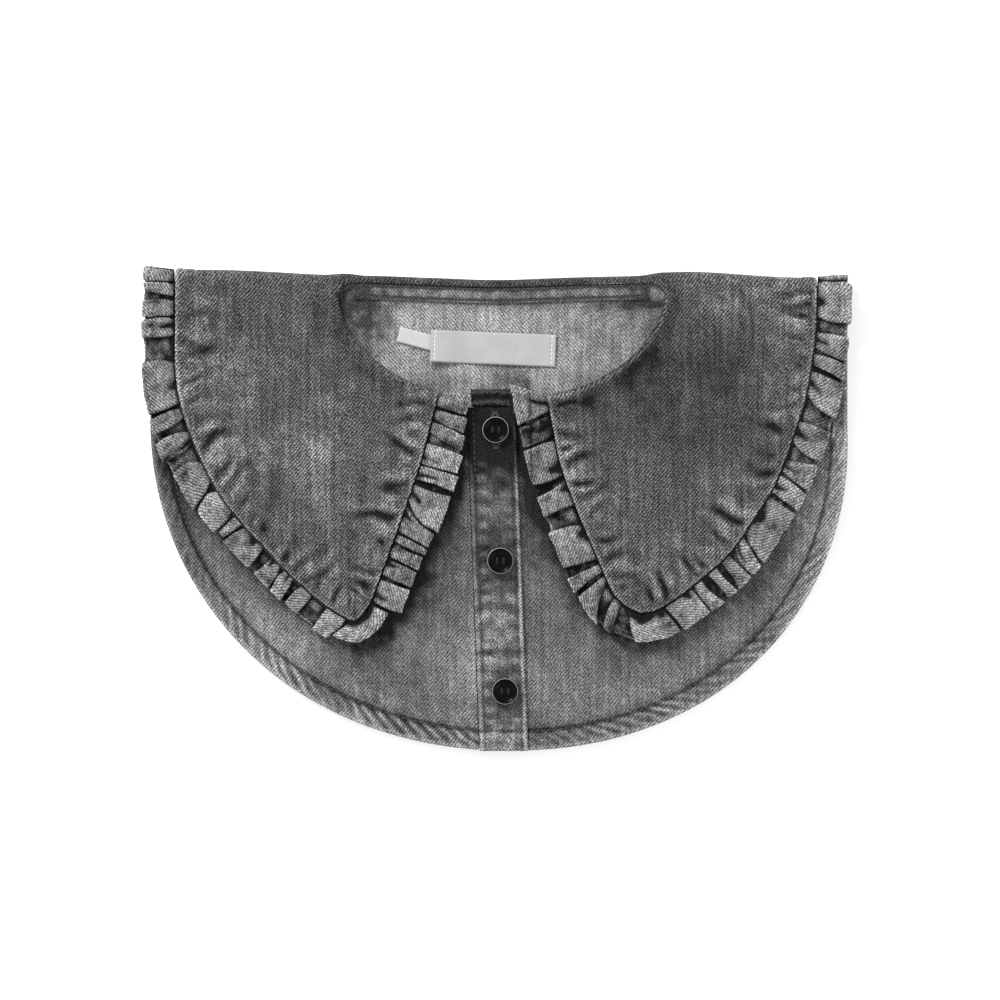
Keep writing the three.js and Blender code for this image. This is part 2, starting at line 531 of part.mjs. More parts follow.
function makeCollar() {
  const right = collarLines("right").slice(0, -1);
  const lines = [...collarLines("left"), ...right.reverse()];
  const half = COLLAR_CLOTH / 2;
  const placed = (line, side) => {
    const along = [0];
    for (let j = 1; j < line.length; j += 1) {
      along.push(along[j - 1] + Math.hypot(line[j].x - line[j - 1].x, line[j].run - line[j - 1].run));
    }
    const section = line.map((p, j) => ({ along: along[j], height: p.rise }));
    return offsetLine(section, side * half).map((moved, j) => {
      const p = line[j];
      const next = line[Math.min(j + 1, line.length - 1)];
      const before = line[Math.max(j - 1, 0)];
      const direction = new THREE.Vector2(next.x - before.x, next.run - before.run).normalize();
      const slide = moved.along - along[j];
      const x = p.x + direction.x * slide;
      const run = p.run + direction.y * slide;
      const onTop = collarOver(p.x, Math.min(p.run, 0));
      return foldOver(x, run, onTop + moved.height, collarUnder - moved.height);
    });
  };
  return closedSheet(
    lines.map((line) => placed(line, 1)),
    lines.map((line) => placed(line, -1)),
  );
}

// A seam path in the flat pattern, read by the distance along it. outSide is 1 where the outside is on its left.
function seamPath(points, outSide) {
  const marks = [0];
  for (let i = 1; i < points.length; i += 1) marks.push(marks[i - 1] + points[i].distanceTo(points[i - 1]));
  const total = marks[marks.length - 1];
  const pointAt = (distance) => {
    let i = 1;
    while (i < marks.length - 1 && marks[i] < distance) i += 1;
    const step = (distance - marks[i - 1]) / (marks[i] - marks[i - 1]);
    return points[i - 1].clone().lerp(points[i], step);
  };
  const outwardAt = (distance) => {
    const ahead = clamp(distance + NORMAL_REACH, 0, total);
    const behind = clamp(distance - NORMAL_REACH, 0, total);
    const tangent = pointAt(ahead).sub(pointAt(behind)).normalize();
    return new THREE.Vector2(-tangent.y * outSide, tangent.x * outSide);
  };
  return { total, pointAt, outwardAt };
}

// Where the faces of the pleats begin and end along the seam, in the row that lies at a share of the frill's width.
function pleatEdges(pleats, unit, row) {
  let start = 0;
  const edges = pleats.map((pleat) => {
    const left = start + (pleat.skew - pleat.spread) * row * unit;
    const right = start + (pleat.face + (pleat.skew + pleat.spread) * row) * unit;
    start += (pleat.face + pleat.gap) * unit;
    return { left, right };
  });
  for (let i = 0; i < edges.length - 1; i += 1) {
    const slit = edges[i + 1].left - edges[i].right;
    const short = Math.max(0, FRILL_CLOTH + LEAST_SLIT - slit) / 2;
    edges[i].right -= short;
    edges[i + 1].left += short;
  }
  return edges;
}

// The frill's middle line in one row: over each face, down its folded side, along the tuck and up the next side.
function pleatSection(pleats, unit, row) {
  const edges = pleatEdges(pleats, unit, row);
  const tucks = edges.map(({ left, right }) => clamp((right - left - TUCK_ROOM) / 2, 0, TUCK) * row);
  const line = [];
  pleats.forEach((pleat, i) => {
    const { left, right } = edges[i];
    const { reach } = pleat;
    const height = SEAM_RISE + pleat.lift * PLEAT_RISE * row;
    if (i > 0) line.push({ along: left + tucks[i], height: 0, reach });
    const facets = pleat.face > WIDE_FACE ? 4 : 2;
    for (const share of stepsTo(facets)) {
      const crown = FACE_CROWN * row * Math.sin(Math.PI * share);
      line.push({ along: mix(left, right, share), height: height + crown, reach });
    }
    if (i === pleats.length - 1) return;
    line.push({ along: right - tucks[i], height: 0, reach });
    const tuckReach = ((reach + pleats[i + 1].reach) / 2) * TUCK_REACH;
    line.push({ along: (right + edges[i + 1].left) / 2, height: 0, reach: tuckReach });
  });
  return line;
}

function makeFrill(path, pleats) {
  const shares = pleats.reduce((sum, pleat) => sum + pleat.face + pleat.gap, 0) - pleats[pleats.length - 1].gap;
  const unit = path.total / shares;
  const surface = (side) =>
    FRILL_ROWS.map((row) => {
      const line = pleatSection(pleats, unit, row);
      return offsetLine(line, (side * FRILL_CLOTH) / 2).map(({ along, height }, k) => {
        const out = FRILL_SEAM + row * FRILL_WIDTH * line[k].reach;
        const place = path.pointAt(along).addScaledVector(path.outwardAt(along), out);
        const rest = highestNear(frontTop, place.x, Math.min(place.y, 0)) + GAP + FRILL_CLOTH / 2;
        const underHeight = height - line[k].height + line[k].height * UNDER_SQUEEZE;
        const underside = BACK_FRILL_HEIGHT - FRILL_CLOTH / 2 - underHeight;
        return foldOver(place.x, place.y, rest + height, underside);
      });
    });
  return closedSheet(surface(1), surface(-1));
}
const stepsTo = (count) => Array.from({ length: count + 1 }, (unused, i) => i / count);
function leafSeam(column) {
  const leaf = LEAVES[column];
  const front = stepsTo(SEAM_STEPS).map((share) => frontEdgePoint(leaf, share));
  const outer = stepsTo(SEAM_STEPS).map((share) => outerSeamPoint(leaf, column, 1 - share));
  const fold = new THREE.Vector2(leaf.side * leaf.span, foldLength + FRILL_PAST_FOLD);
  return seamPath([...front, ...outer.slice(1), fold], -leaf.side);
}
function backSeam() {
  const start = foldLength + FRILL_PAST_FOLD + SEAM;
  const half = (column) =>
    stepsTo(SEAM_STEPS)
      .map((share) => backSeamPoint(LEAVES[column], share))
      .filter((point) => point.y > start + 1);
  const end = (column) => new THREE.Vector2(LEAVES[column].side * LEAVES[column].span, start);
  const left = half("left");
  const right = half("right").reverse();
  return seamPath([end("left"), ...left, ...right.slice(1), end("right")], 1);
}

// The bib's cloths, as grids of lines that run from the neck to the outline
function clothGrid(necks, rims, rimInset) {
  return necks.map((neck, i) => {
    const rim = rims[i];
    const length = Math.hypot(rim.x - neck.x, rim.y - neck.y);
    const hemStart = 1 - HEM_WIDTH / length;
    const clothEnd = 1 - (HEM_WIDTH + HEM_STEP) / length;
    const shares = [...CLOTH_ROWS.map((share) => share * clothEnd), clothEnd, hemStart, 1 - rimInset / length];
    return shares.map((share) => {
      const x = mix(neck.x, rim.x, share);
      const y = mix(neck.y, rim.y, share);
      return { x, y: y + foldY(x, -y) };
    });
  });
}
const hemCloth = (grid) => (x, y, i, j) => (j >= grid[0].length - 2 ? HEM_CLOTH : CLOTH);
function outlineShareAt(x) {
  let [low, high] = [0, 1];
  for (let i = 0; i < 40; i += 1) {
    const middle = (low + high) / 2;
    if (outlinePoint(middle).x < x) low = middle;
    else high = middle;
  }
  return (low + high) / 2;
}
function makeFront(side) {
  const bandEdge = (y) => bandMiddle(y) + side * (BAND_WIDTH / 2 + (side < 0 ? SEAM / 2 : SEAM - BAND_OVERHANG));
  const halfWidth = NECK_HALF_WIDTH + NECK_TUCK;
  const depth = NECK_DEPTH + NECK_TUCK;
  const endAngle = Math.acos((side * (bandEdge(bibNeckBottom) - NECK_CENTRE)) / halfWidth);
  const endShare = outlineShareAt(bandEdge(-BIB_SIDE - BIB_ROUND_DEPTH));
  const startShare = side < 0 ? 0 : 1;
  const shares = stepsTo(FRONT_LINES);
  const necks = shares.map((share, i) => {
    const angle = endAngle * share;
    const y = i === 0 ? 0 : -NECK_TOP - depth * Math.sin(angle);
    return { x: NECK_CENTRE + side * halfWidth * Math.cos(angle), y };
  });
  const rims = shares.map((share) => outlinePoint(mix(startShare, endShare, share)));
  const grid = clothGrid(necks, rims, 0);
  const lift = (x, y) => frontBottom(x, y) + (side < 0 ? bandStep(x, y) : 0);
  return layer(grid, lift, hemCloth(grid));
}
function makeBack() {
  const shares = stepsTo(2 * FRONT_LINES);
  const halfWidth = NECK_HALF_WIDTH + NECK_TUCK;
  const necks = shares.map((share, i) => {
    const x = NECK_CENTRE + mix(-halfWidth, halfWidth, share);
    const atEnd = i === 0 || i === shares.length - 1;
    const fade = smooth(Math.abs(x - NECK_CENTRE), NECK_SEAM_FADE * halfWidth, halfWidth);
    const drop = (NECK_SEAM_DROP + NECK_SEAM_ROOM) * (1 - fade);
    return { x, y: atEnd ? 0 : -drop };
  });
  const rims = shares.map((share) => outlinePoint(share));
  const grid = clothGrid(necks, rims, BACK_INSET);
  return layer(grid, backLift, hemCloth(grid));
}

// The button bands
function bandGrid(leftEdge, rightEdge, top, columns) {
  return stepsTo(BAND_LINES).map((share) =>
    stepsTo(columns).map((across) => {
      const bottom = -BIB_SIDE - BIB_ROUND_DEPTH;
      const y = mix(top, bottom, share);
      return { x: bandMiddle(y) + mix(leftEdge, rightEdge, across), y };
    }),
  );
}
function makeUnderBand() {
  const half = BAND_WIDTH / 2;
  const grid = bandGrid(-half + SEAM / 2, half - BAND_OVERHANG, bibNeckBottom, 2);
  return layer(grid, frontBottom, () => UNDER_BAND_CLOTH);
}
const buttonPlaces = Array.from({ length: BUTTON_COUNT }, (unused, i) => {
  const y = -BIB_SIDE - i * BUTTON_PITCH;
  return { x: bandMiddle(y) + BUTTON_OFFSET, y };
});
function makeUpperBand() {
  const half = BAND_WIDTH / 2;
  const grid = bandGrid(-half + SEAM / 2, half, bibNeckBottom, 4);
  const crown = (x, y, i, j) => UPPER_BAND_CLOTH + BAND_CROWN * Math.sin((Math.PI * j) / 4);
  let solid = solidOf(layer(grid, (x, y) => underBandTop(x, y) + GAP, crown));
  for (const place of buttonPlaces) {
    const slot = new THREE.BoxGeometry(BUTTONHOLE_WIDTH, BUTTONHOLE_LENGTH, CUT_LENGTH);
    slot.rotateZ(BIB_TURN).translate(place.x, place.y, 0);
    solid = solid.subtract(solidOf(slot));
  }
  return geometryOf(solid);
}
function makeNeckBinding() {
  const start = bibNeckBottom + SEAM;
  const grid = stepsTo(3).map((share) =>
    stepsTo(4).map((across) => {
      const y = mix(start, start + BINDING_HEIGHT, share);
      return { x: bandMiddle(y) + mix(-BINDING_WIDTH / 2, BINDING_WIDTH / 2, across), y };
    }),
  );
  return layer(grid, frontBottom, () => BINDING_CLOTH);
}

// A button with a raised rim, four holes and its shank of thread
function makeButton(place) {
  const radius = BUTTON_DIAMETER / 2;
  const profile = [
    [0, 0],
    [radius * 0.8, 0],
    [radius, BUTTON_THICKNESS * 0.35],
    [radius, BUTTON_THICKNESS * 0.75],
    [radius - BUTTON_RIM_WIDTH * 0.35, BUTTON_THICKNESS],
    [radius - BUTTON_RIM_WIDTH, BUTTON_THICKNESS - BUTTON_DISH * 0.25],
    [radius - BUTTON_RIM_WIDTH * 1.5, BUTTON_THICKNESS - BUTTON_DISH],
    [0, BUTTON_THICKNESS - BUTTON_DISH],
  ].map(([r, z]) => new THREE.Vector2(r, z));
  let solid = solidOf(new THREE.LatheGeometry(profile, BUTTON_SIDES).rotateX(Math.PI / 2));
  for (const [dx, dy] of [[-1, -1], [1, -1], [1, 1], [-1, 1]]) {
    const hole = new THREE.CylinderGeometry(BUTTON_HOLE_DIAMETER / 2, BUTTON_HOLE_DIAMETER / 2, CUT_LENGTH, 8);
    hole.rotateX(Math.PI / 2).translate((dx * BUTTON_HOLE_PITCH) / 2, (dy * BUTTON_HOLE_PITCH) / 2, 0);
    solid = solid.subtract(solidOf(hole));
  }
  const seat = highestNear(upperBandTop, place.x, place.y) + BAND_CROWN + SEAM;
  const shankEnd = underBandTop(place.x, place.y) + SEAM;
  const shank = new THREE.BoxGeometry(SHANK_WIDTH, SHANK_LENGTH, seat - shankEnd + SHANK_OVERLAP);
  shank.translate(0, 0, (shankEnd - seat + SHANK_OVERLAP) / 2);
  solid = solid.add(solidOf(shank.rotateZ(BIB_TURN)));
  return geometryOf(solid).translate(place.x, place.y, seat);
}

// Inside the back neck
function flatTrim(width, height, x, y, turn, lift) {
  const grid = stepsTo(TRIM_STEPS).map((along) =>
    [-0.5, 0.5].map((across) => {
      const place = new THREE.Vector2((along - 0.5) * width, across * height);
      return place.rotateAround(new THREE.Vector2(), turn).add({ x, y });
    }),
  );
  return layer(grid, (px, py, i) => backTop(px, py) + GAP + lift(i / TRIM_STEPS), () => TRIM_CLOTH);
}
function makeLabel() {
  const overTab = (share) => (TRIM_CLOTH + SEAM) * (1 - smooth(share, LABEL_RAMP.start, LABEL_RAMP.end));
  return flatTrim(LABEL_WIDTH, LABEL_HEIGHT, LABEL_X, -LABEL_DROP, LABEL_TURN, overTab);
}
function makeSizeTab() {
  const labelLeft = LABEL_X - (LABEL_WIDTH / 2) * Math.cos(LABEL_TURN);
  const x = labelLeft + TAB_UNDER_LABEL - (TAB_LENGTH / 2) * Math.cos(TAB_TURN);
  const y = -LABEL_DROP + LABEL_HEIGHT * TAB_ABOVE_MIDDLE - (TAB_LENGTH / 2) * Math.sin(TAB_TURN);
  return flatTrim(TAB_LENGTH, TAB_WIDTH, x, y, TAB_TURN, () => 0);
}
function makeTape() {
  const grid = stepsTo(TAPE_STEPS).map((share) => {
    const x = NECK_CENTRE + mix(-TAPE_HALF_LENGTH, TAPE_HALF_LENGTH, share);
    const edge = NECK_SEAM_DROP + NECK_SEAM_ROOM;
    return [edge, edge + TAPE_WIDTH].map((drop) => ({ x, y: foldY(x, drop) - drop }));
  });
  return layer(grid, (x, y) => backTop(x, y) + GAP, () => TRIM_CLOTH);
}

// Materials
const denim = (color) => new THREE.MeshStandardMaterial({ color, roughness: 0.92, metalness: 0 });
const collarDenim = denim(0x5f5e5f);
const bibDenim = denim(0x7b797a);
const frillDenim = denim(0x858384);
const insideDenim = denim(0x959496);
const bandDenim = denim(0x6c6a6b);
const darkBinding = denim(0x2b282c);
const wovenLabel = new THREE.MeshStandardMaterial({ color: 0xdad8d2, roughness: 0.85, metalness: 0 });
const buttonBlack = new THREE.MeshStandardMaterial({ color: 0x0c0c0d, roughness: 0.22, metalness: 0 });

// The part
const model = new THREE.Group();
const backPleats = stepsTo(BACK_PLEAT_REPEATS - 1).flatMap(() => BACK_PLEATS);
model.add(
  meshOf("back_panel", makeBack(), insideDenim),
  meshOf("front_panel_left", makeFront(-1), bibDenim),
  meshOf("front_panel_right", makeFront(1), bibDenim),
  meshOf("under_placket", makeUnderBand(), bandDenim),
  meshOf("upper_placket", makeUpperBand(), bandDenim),
  meshOf("front_neck_binding", makeNeckBinding(), darkBinding),
  meshOf("collar", makeCollar(), collarDenim),
  meshOf("ruffle_left", makeFrill(leafSeam("left"), LEFT_PLEATS), frillDenim),
  meshOf("ruffle_right", makeFrill(leafSeam("right"), RIGHT_PLEATS), frillDenim),
  meshOf("ruffle_back", makeFrill(backSeam(), backPleats), frillDenim),
  meshOf("neck_tape", makeTape(), insideDenim),
  meshOf("label", makeLabel(), wovenLabel),
  meshOf("size_tab", makeSizeTab(), wovenLabel),
);
buttonPlaces.forEach((place, i) => model.add(meshOf(`button_${i + 1}`, makeButton(place), buttonBlack)));

// The origin goes to the middle of the underside.
const box = new THREE.Box3().setFromObject(model);
const centre = box.getCenter(new THREE.Vector3());
model.position.set(-centre.x, -centre.y, -box.min.z);
const part = new THREE.Group();
part.add(model);

export default part;
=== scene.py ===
# %% [markdown]
# # A child's ruffle collar in washed denim
# The garment is a small buttoned bib with two big pointed leaves, and a gathered frill runs round the leaves.
# It lies flat on its back, as clothes do for a catalogue picture. The solid model is loaded first and never
# changes: it gives every cloth its place, so what is made here only has to follow it more finely.

import math

import bpy
import numpy as np
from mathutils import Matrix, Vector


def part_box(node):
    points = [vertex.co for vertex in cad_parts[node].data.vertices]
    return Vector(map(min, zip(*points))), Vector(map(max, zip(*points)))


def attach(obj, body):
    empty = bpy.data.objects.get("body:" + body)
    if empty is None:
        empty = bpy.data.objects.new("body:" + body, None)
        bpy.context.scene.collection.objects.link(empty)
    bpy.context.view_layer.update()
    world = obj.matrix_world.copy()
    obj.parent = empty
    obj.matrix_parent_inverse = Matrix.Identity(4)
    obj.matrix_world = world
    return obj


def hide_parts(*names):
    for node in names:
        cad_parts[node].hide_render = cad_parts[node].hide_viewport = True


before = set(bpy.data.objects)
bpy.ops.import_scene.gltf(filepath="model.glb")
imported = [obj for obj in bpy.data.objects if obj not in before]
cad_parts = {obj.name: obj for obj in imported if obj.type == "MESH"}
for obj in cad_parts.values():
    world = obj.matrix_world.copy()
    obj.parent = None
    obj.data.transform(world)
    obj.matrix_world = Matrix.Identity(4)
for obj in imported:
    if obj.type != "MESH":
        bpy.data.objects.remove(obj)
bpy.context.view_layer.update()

# %% [markdown]
# ## Reading the tables
# A pattern's curves are kept as a few rows. A cubic that never overshoots its rows draws a smooth
# line through them, for a single number or for a whole array of points at once.


# %% Small helpers on arrays
RIPPLE_WAVES = 7


def mix(a, b, share):
    return a + (b - a) * share


def smooth(value, start, end):
    share = np.clip((value - start) / (end - start), 0, 1)
    return share * share * (3 - 2 * share)


def bell(value, middle, width):
    """A soft bump, 1 in the middle and about 0.4 at one width away."""
    return np.exp(-(((value - middle) / width) ** 2))


def read_table(table, value):
    keys, heights = np.array(table, float).T
    value = np.clip(value, keys[0], keys[-1])
    i = np.clip(np.searchsorted(keys, value, side="right") - 1, 0, len(keys) - 2)
    before = np.maximum(i - 1, 0)
    after = np.minimum(i + 2, len(keys) - 1)

    def slope(p, q):
        return (heights[q] - heights[p]) / np.maximum(keys[q] - keys[p], 1e-9)

    middle = slope(i, i + 1)

    def limit(m):
        return np.where(m * middle <= 0, 0, np.sign(m) * np.minimum(np.abs(m), 3 * np.abs(middle)))

    width = keys[i + 1] - keys[i]
    t = (value - keys[i]) / width
    start = (2 * t**3 - 3 * t**2 + 1) * heights[i]
    start = start + (t**3 - 2 * t**2 + t) * width * limit(slope(before, i + 1))
    end = (3 * t**2 - 2 * t**3) * heights[i + 1]
    end = end + (t**3 - t**2) * width * limit(slope(i, after))
    return start + end


def ripple(x, y, length, seed):
    """Soft irregular waves between -1 and 1, about one length from crest to crest."""
    pick = np.random.default_rng(seed)
    total = 0
    for _ in range(RIPPLE_WAVES):
        turn, phase = pick.uniform(0, 2 * math.pi, 2)
        pitch = length * pick.uniform(0.7, 1.5)
        total = total + np.sin((x * math.cos(turn) + y * math.sin(turn)) * 2 * math.pi / pitch + phase)
    return total / 4


print("a bell, one width from its middle:", round(float(bell(1, 0, 1)), 2))

# %% [markdown]
# ## One set of sizes
# The pattern is drawn in millimetres, with Y = 0 on the shoulder fold and X = 0 near the middle of the neck.
# Its sizes are those of the solid model, and each stands in the cell that first needs it. A tailor works the
# same way: the pattern first, then how it falls.
#
# The bib hangs straight down from the shoulders and ends in a round hem. Its edge could be traced point by
# point, but two straight sides and one rounded arch need only a handful of numbers, and the same formula then
# also says how far any point of the cloth lies from the hem, which the wear along the edge needs later.

# %% The bib's outline
BIB_CENTRE = 1.0
BIB_HALF_WIDTH = 146.2
BIB_SIDE = 61.3
BIB_ROUND_DEPTH = 134.8
BIB_ROUNDNESS = 2.1
BIB_TURN = math.radians(2.1)
OUTLINE_ARC = 1.3
BAND_CENTRE = -1.9
FOLD_WAVE = 3.0
WAVE_FADE = 50.0
SHOULDER_WAVE = [
    (-1.0, 0.5),
    (-0.78, 0.45),
    (-0.5, -0.05),
    (-0.4, 0.35),
    (-0.2, 0.05),
    (0.0, -0.27),
    (0.2, 0.05),
    (0.42, 0.3),
    (0.55, 0.3),
    (0.82, -0.55),
    (1.0, -0.7),
]


def fold_y(x, away):
    wave = FOLD_WAVE * read_table(SHOULDER_WAVE, x / BIB_HALF_WIDTH)
    return wave * (1 - smooth(away, 0, WAVE_FADE))


def bib_sway(y):
    return math.tan(BIB_TURN) * np.maximum(0, -BIB_SIDE - y)


def band_middle(y):
    return BAND_CENTRE + math.tan(BIB_TURN) * (-BIB_SIDE - y)


def outline_point(along):
    """Points of the bib's edge: along is 0 at the left shoulder and 1 at the right one."""
    arc = OUTLINE_ARC * (BIB_HALF_WIDTH + BIB_ROUND_DEPTH)
    distance = np.minimum(along, 1 - along) * (2 * BIB_SIDE + arc)
    side = np.where(along < 0.5, -1, 1)
    angle = np.clip((distance - BIB_SIDE) / (arc / 2), 0, 1) * (math.pi / 2)
    x = BIB_HALF_WIDTH * np.cos(angle) ** (2 / BIB_ROUNDNESS)
    y = -BIB_SIDE - BIB_ROUND_DEPTH * np.sin(angle) ** (2 / BIB_ROUNDNESS)
    straight = distance <= BIB_SIDE
    x = np.where(straight, BIB_HALF_WIDTH, x)
    y = np.where(straight, -distance, y)
    return BIB_CENTRE + side * x + np.where(straight, 0, bib_sway(y)), y


def inside_outline(x, y):
    across = x - BIB_CENTRE - bib_sway(y)
    down = np.maximum(0, -BIB_SIDE - y)
    size = np.maximum(np.hypot(across, down), 1)
    ratio = (np.abs(across) / BIB_HALF_WIDTH) ** BIB_ROUNDNESS + (down / BIB_ROUND_DEPTH) ** BIB_ROUNDNESS
    return size / np.maximum(ratio, 1e-6) ** (1 / BIB_ROUNDNESS) - size


print("bib", 2 * BIB_HALF_WIDTH, "mm wide and", round(BIB_SIDE + BIB_ROUND_DEPTH, 1), "mm long")

# %% [markdown]
# ## How the layers lie on each other
# Cloth on a table is a stack of heights. The back of the collar and its frill are lowest, the back of the bib
# lies on them, then the fronts, the button bands, the leaves and last the frill. A cloth simulation could
# drop them on each other, but it would also shift every fold. Here each layer asks the one below how high it
# is nearby and lies that much higher, so nothing cuts through anything and each fold stays where it was cut.

# %% Cloths and the room between them
CLOTH = 1.2
HEM_CLOTH = 1.8
COLLAR_CLOTH = 2.0
UNDER_BAND_CLOTH = 1.4
UPPER_BAND_CLOTH = 1.8
GAP = 0.5
SEAM = 0.3
REST_REACH = 5.0
HEM_WIDTH = 8.0
HEM_STEP = 0.8
print("cloth", CLOTH, "mm, hem", HEM_CLOTH, "mm, collar", COLLAR_CLOTH, "mm, and", GAP, "mm between two")

# %% The neck, the two leaves, the bands and what lies behind the neck
NECK_CENTRE = 2.0
NECK_HALF_WIDTH = 68.5
NECK_DEPTH = 47.0
NECK_TOP = 2.1
NECK_TUCK = 2.8
LEAVES = {
    "left": dict(side=-1, corner=(24.2, -45.3), tip=(59.4, -141.5), span=134.6, bow=3.9),
    "right": dict(side=1, corner=(21.2, -46.6), tip=(60.3, -138.1), span=134.2, bow=8.2),
}
BACK_COLLAR_DEPTH = 75.0
BACK_COLLAR_ROUNDNESS = 2.5
BACK_FRILL_HEIGHT = 3.4
BACK_LIFT = [(0, 0.62), (0.5, 0.62), (0.78, 1), (1.28, 1), (1.9, 0), (9, 0)]
BAND_WIDTH = 20.5
BAND_CROWN = 0.3
BAND_STEP = 1.5
BAND_STEP_RUN = 8.0
BINDING_HEIGHT = 7.4
print("neck", 2 * NECK_HALF_WIDTH, "mm wide, left leaf", -LEAVES["left"]["tip"][1], "mm long")

# %% Heights of the layers, from the table up
NECK_BOTTOM = -NECK_TOP - NECK_DEPTH
BIB_NECK_BOTTOM = NECK_BOTTOM - NECK_TUCK
MEAN_SPAN = (LEAVES["left"]["span"] + LEAVES["right"]["span"]) / 2


def back_lift(x, y):
    across = (np.abs(x) / MEAN_SPAN) ** BACK_COLLAR_ROUNDNESS
    down = (np.maximum(0, -y) / BACK_COLLAR_DEPTH) ** BACK_COLLAR_ROUNDNESS
    reach = (across + down) ** (1 / BACK_COLLAR_ROUNDNESS)
    return read_table(BACK_LIFT, reach) * (BACK_FRILL_HEIGHT + GAP)


def panel_cloth(x, y):
    hem = 1 - smooth(inside_outline(x, y), HEM_WIDTH, HEM_WIDTH + HEM_STEP)
    return mix(CLOTH, HEM_CLOTH, hem)


def highest_near(height, x, y):
    top = height(x, y)
    for i in range(8):
        angle = i * math.pi / 4
        top = np.maximum(top, height(x + REST_REACH * math.cos(angle), y + REST_REACH * math.sin(angle)))
    return top


def back_top(x, y):
    return back_lift(x, y) + panel_cloth(x, y)


def front_bottom(x, y):
    return highest_near(back_top, x, y) + GAP


def band_step(x, y):
    left = band_middle(y) - BAND_WIDTH / 2
    return np.where(x < band_middle(y), BAND_STEP * (1 - smooth(left - x, SEAM, BAND_STEP_RUN)), 0)


def under_band_top(x, y):
    return front_bottom(x, y) + UNDER_BAND_CLOTH


def upper_band_top(x, y):
    return under_band_top(x, y) + GAP + UPPER_BAND_CLOTH


def front_top(x, y):
    bottom = front_bottom(x, y)
    over_band = (np.abs(x - band_middle(y)) < BAND_WIDTH / 2) & (y < NECK_BOTTOM + BINDING_HEIGHT)
    band = bottom + UNDER_BAND_CLOTH + GAP + UPPER_BAND_CLOTH + BAND_CROWN
    return np.where(over_band, band, bottom + band_step(x, y) + panel_cloth(x, y))


print("the front lies", round(float(front_top(np.array(60.0), np.array(-80.0))), 2), "mm above the table")

# %% [markdown]
# ## The fold over the shoulders
# The collar is one cloth that goes over the shoulder and lies on the table behind. The pattern keeps one
# number, the run: below zero it is in front of the fold, and past the fold it turns back underneath on a half
# circle. Bending a finished mesh with a modifier would do it too, but a formula can let the two halves lie at
# heights of their own, which they need because more layers lie under the front half.

# %% From the flat pattern to the folded garment
BACK_ROLL_HEIGHT = 4.4
NECK_SEAM_DROP = 0.4
NECK_FALL = 10.5
NECK_CORNER_RUN = 8.0
COLLAR_UNDER = COLLAR_CLOTH / 2


def leaf_height(x, y):
    return highest_near(front_top, x, y) + GAP + COLLAR_CLOTH / 2


def collar_over(x, y):
    from_middle = np.abs(x - NECK_CENTRE)
    neck = 1 - smooth(from_middle, NECK_HALF_WIDTH - 1.5 * NECK_CORNER_RUN, NECK_HALF_WIDTH)
    near_fold = smooth(y, -NECK_FALL, -NECK_SEAM_DROP)
    return mix(leaf_height(x, y), BACK_ROLL_HEIGHT, near_fold * neck)


FOLD_RADIUS = float(leaf_height(np.array(-MEAN_SPAN / 2), np.array(0.0)) - COLLAR_UNDER) / 2
FOLD_LENGTH = math.pi * FOLD_RADIUS


def fold_over(x, run, over, under):
    """Places pattern points on the folded garment. Returns an array whose last axis is X, Y, Z."""
    past = run - FOLD_LENGTH
    angle = np.clip(run / FOLD_RADIUS, 0, math.pi)
    radius = (over - under) / 2
    middle = (over + under) / 2
    away = np.maximum(np.where(run < 0, -run, past), 0)
    y = fold_y(x, away) + np.where(run < 0, run, radius * np.sin(angle)) - np.maximum(past, 0)
    z = np.where(run < 0, over, middle + radius * np.cos(angle))
    z = np.where(past > 0, under, z)
    return np.stack([x, y, z], axis=-1)


print("shoulder fold radius", round(FOLD_RADIUS, 2), "mm")

# %% [markdown]
# ## Where the pattern lies in the solid model
# The solid model has its origin in the middle of its underside. The first button sits in both, so its middle
# says how far the pattern has to move. Measuring it keeps the two from drifting apart, where a typed-in shift
# could go stale.

# %% Find the shift from the pattern to the model
BUTTON_COUNT = 3
BUTTON_PITCH = 54.8
BUTTON_OFFSET = 1.5
BUTTON_PLACES = []
for i in range(BUTTON_COUNT):
    button_y = -BIB_SIDE - i * BUTTON_PITCH
    BUTTON_PLACES.append((float(band_middle(button_y)) + BUTTON_OFFSET, button_y))
low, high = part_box("button_1")
SHIFT = np.array([
    (low[0] + high[0]) * 500 - BUTTON_PLACES[0][0],
    (low[1] + high[1]) * 500 - BUTTON_PLACES[0][1],
    0.0,
])
print("the pattern moves by", SHIFT.round(3), "mm")

# %% [markdown]
# ## The camera
# The picture was taken from straight above. A long lens a good way up keeps the outline flat and true, and
# the frame is 420 mm wide on the cloth. An orthographic camera would be simpler, but it has no perspective at
# all, and a real lens shows a little of the frill's side near the edge of the frame.

# %% Camera straight above
FRAME_WIDTH = 0.42
FRAME_MIDDLE = (1.8, 4.01, 5.0)
CAMERA_HEIGHT = 1.6
SENSOR_WIDTH = 36
camera_data = bpy.data.cameras.new("camera")
camera_data.sensor_width = SENSOR_WIDTH
camera_data.lens = SENSOR_WIDTH * CAMERA_HEIGHT / FRAME_WIDTH
camera = bpy.data.objects.new("camera", camera_data)
camera.location = (FRAME_MIDDLE[0] / 1000, FRAME_MIDDLE[1] / 1000, FRAME_MIDDLE[2] / 1000 + CAMERA_HEIGHT)
bpy.context.collection.objects.link(camera)
bpy.context.scene.camera = camera
print("lens", round(camera_data.lens, 1), "mm, from", CAMERA_HEIGHT, "m up")

# %% [markdown]
# ## Denim, as a weave
# Denim is a twill: each dark warp yarn floats over several pale weft yarns, one step further in each row, so
# the floats line up as slanting ribs. Modelling each yarn would take millions of faces, and a picture of
# denim would repeat. The group below draws the ribs with a sine across the slant, breaks them up with noise
# stretched along the yarns, and puts out the rib's height, and a tone for the salt-and-pepper look.


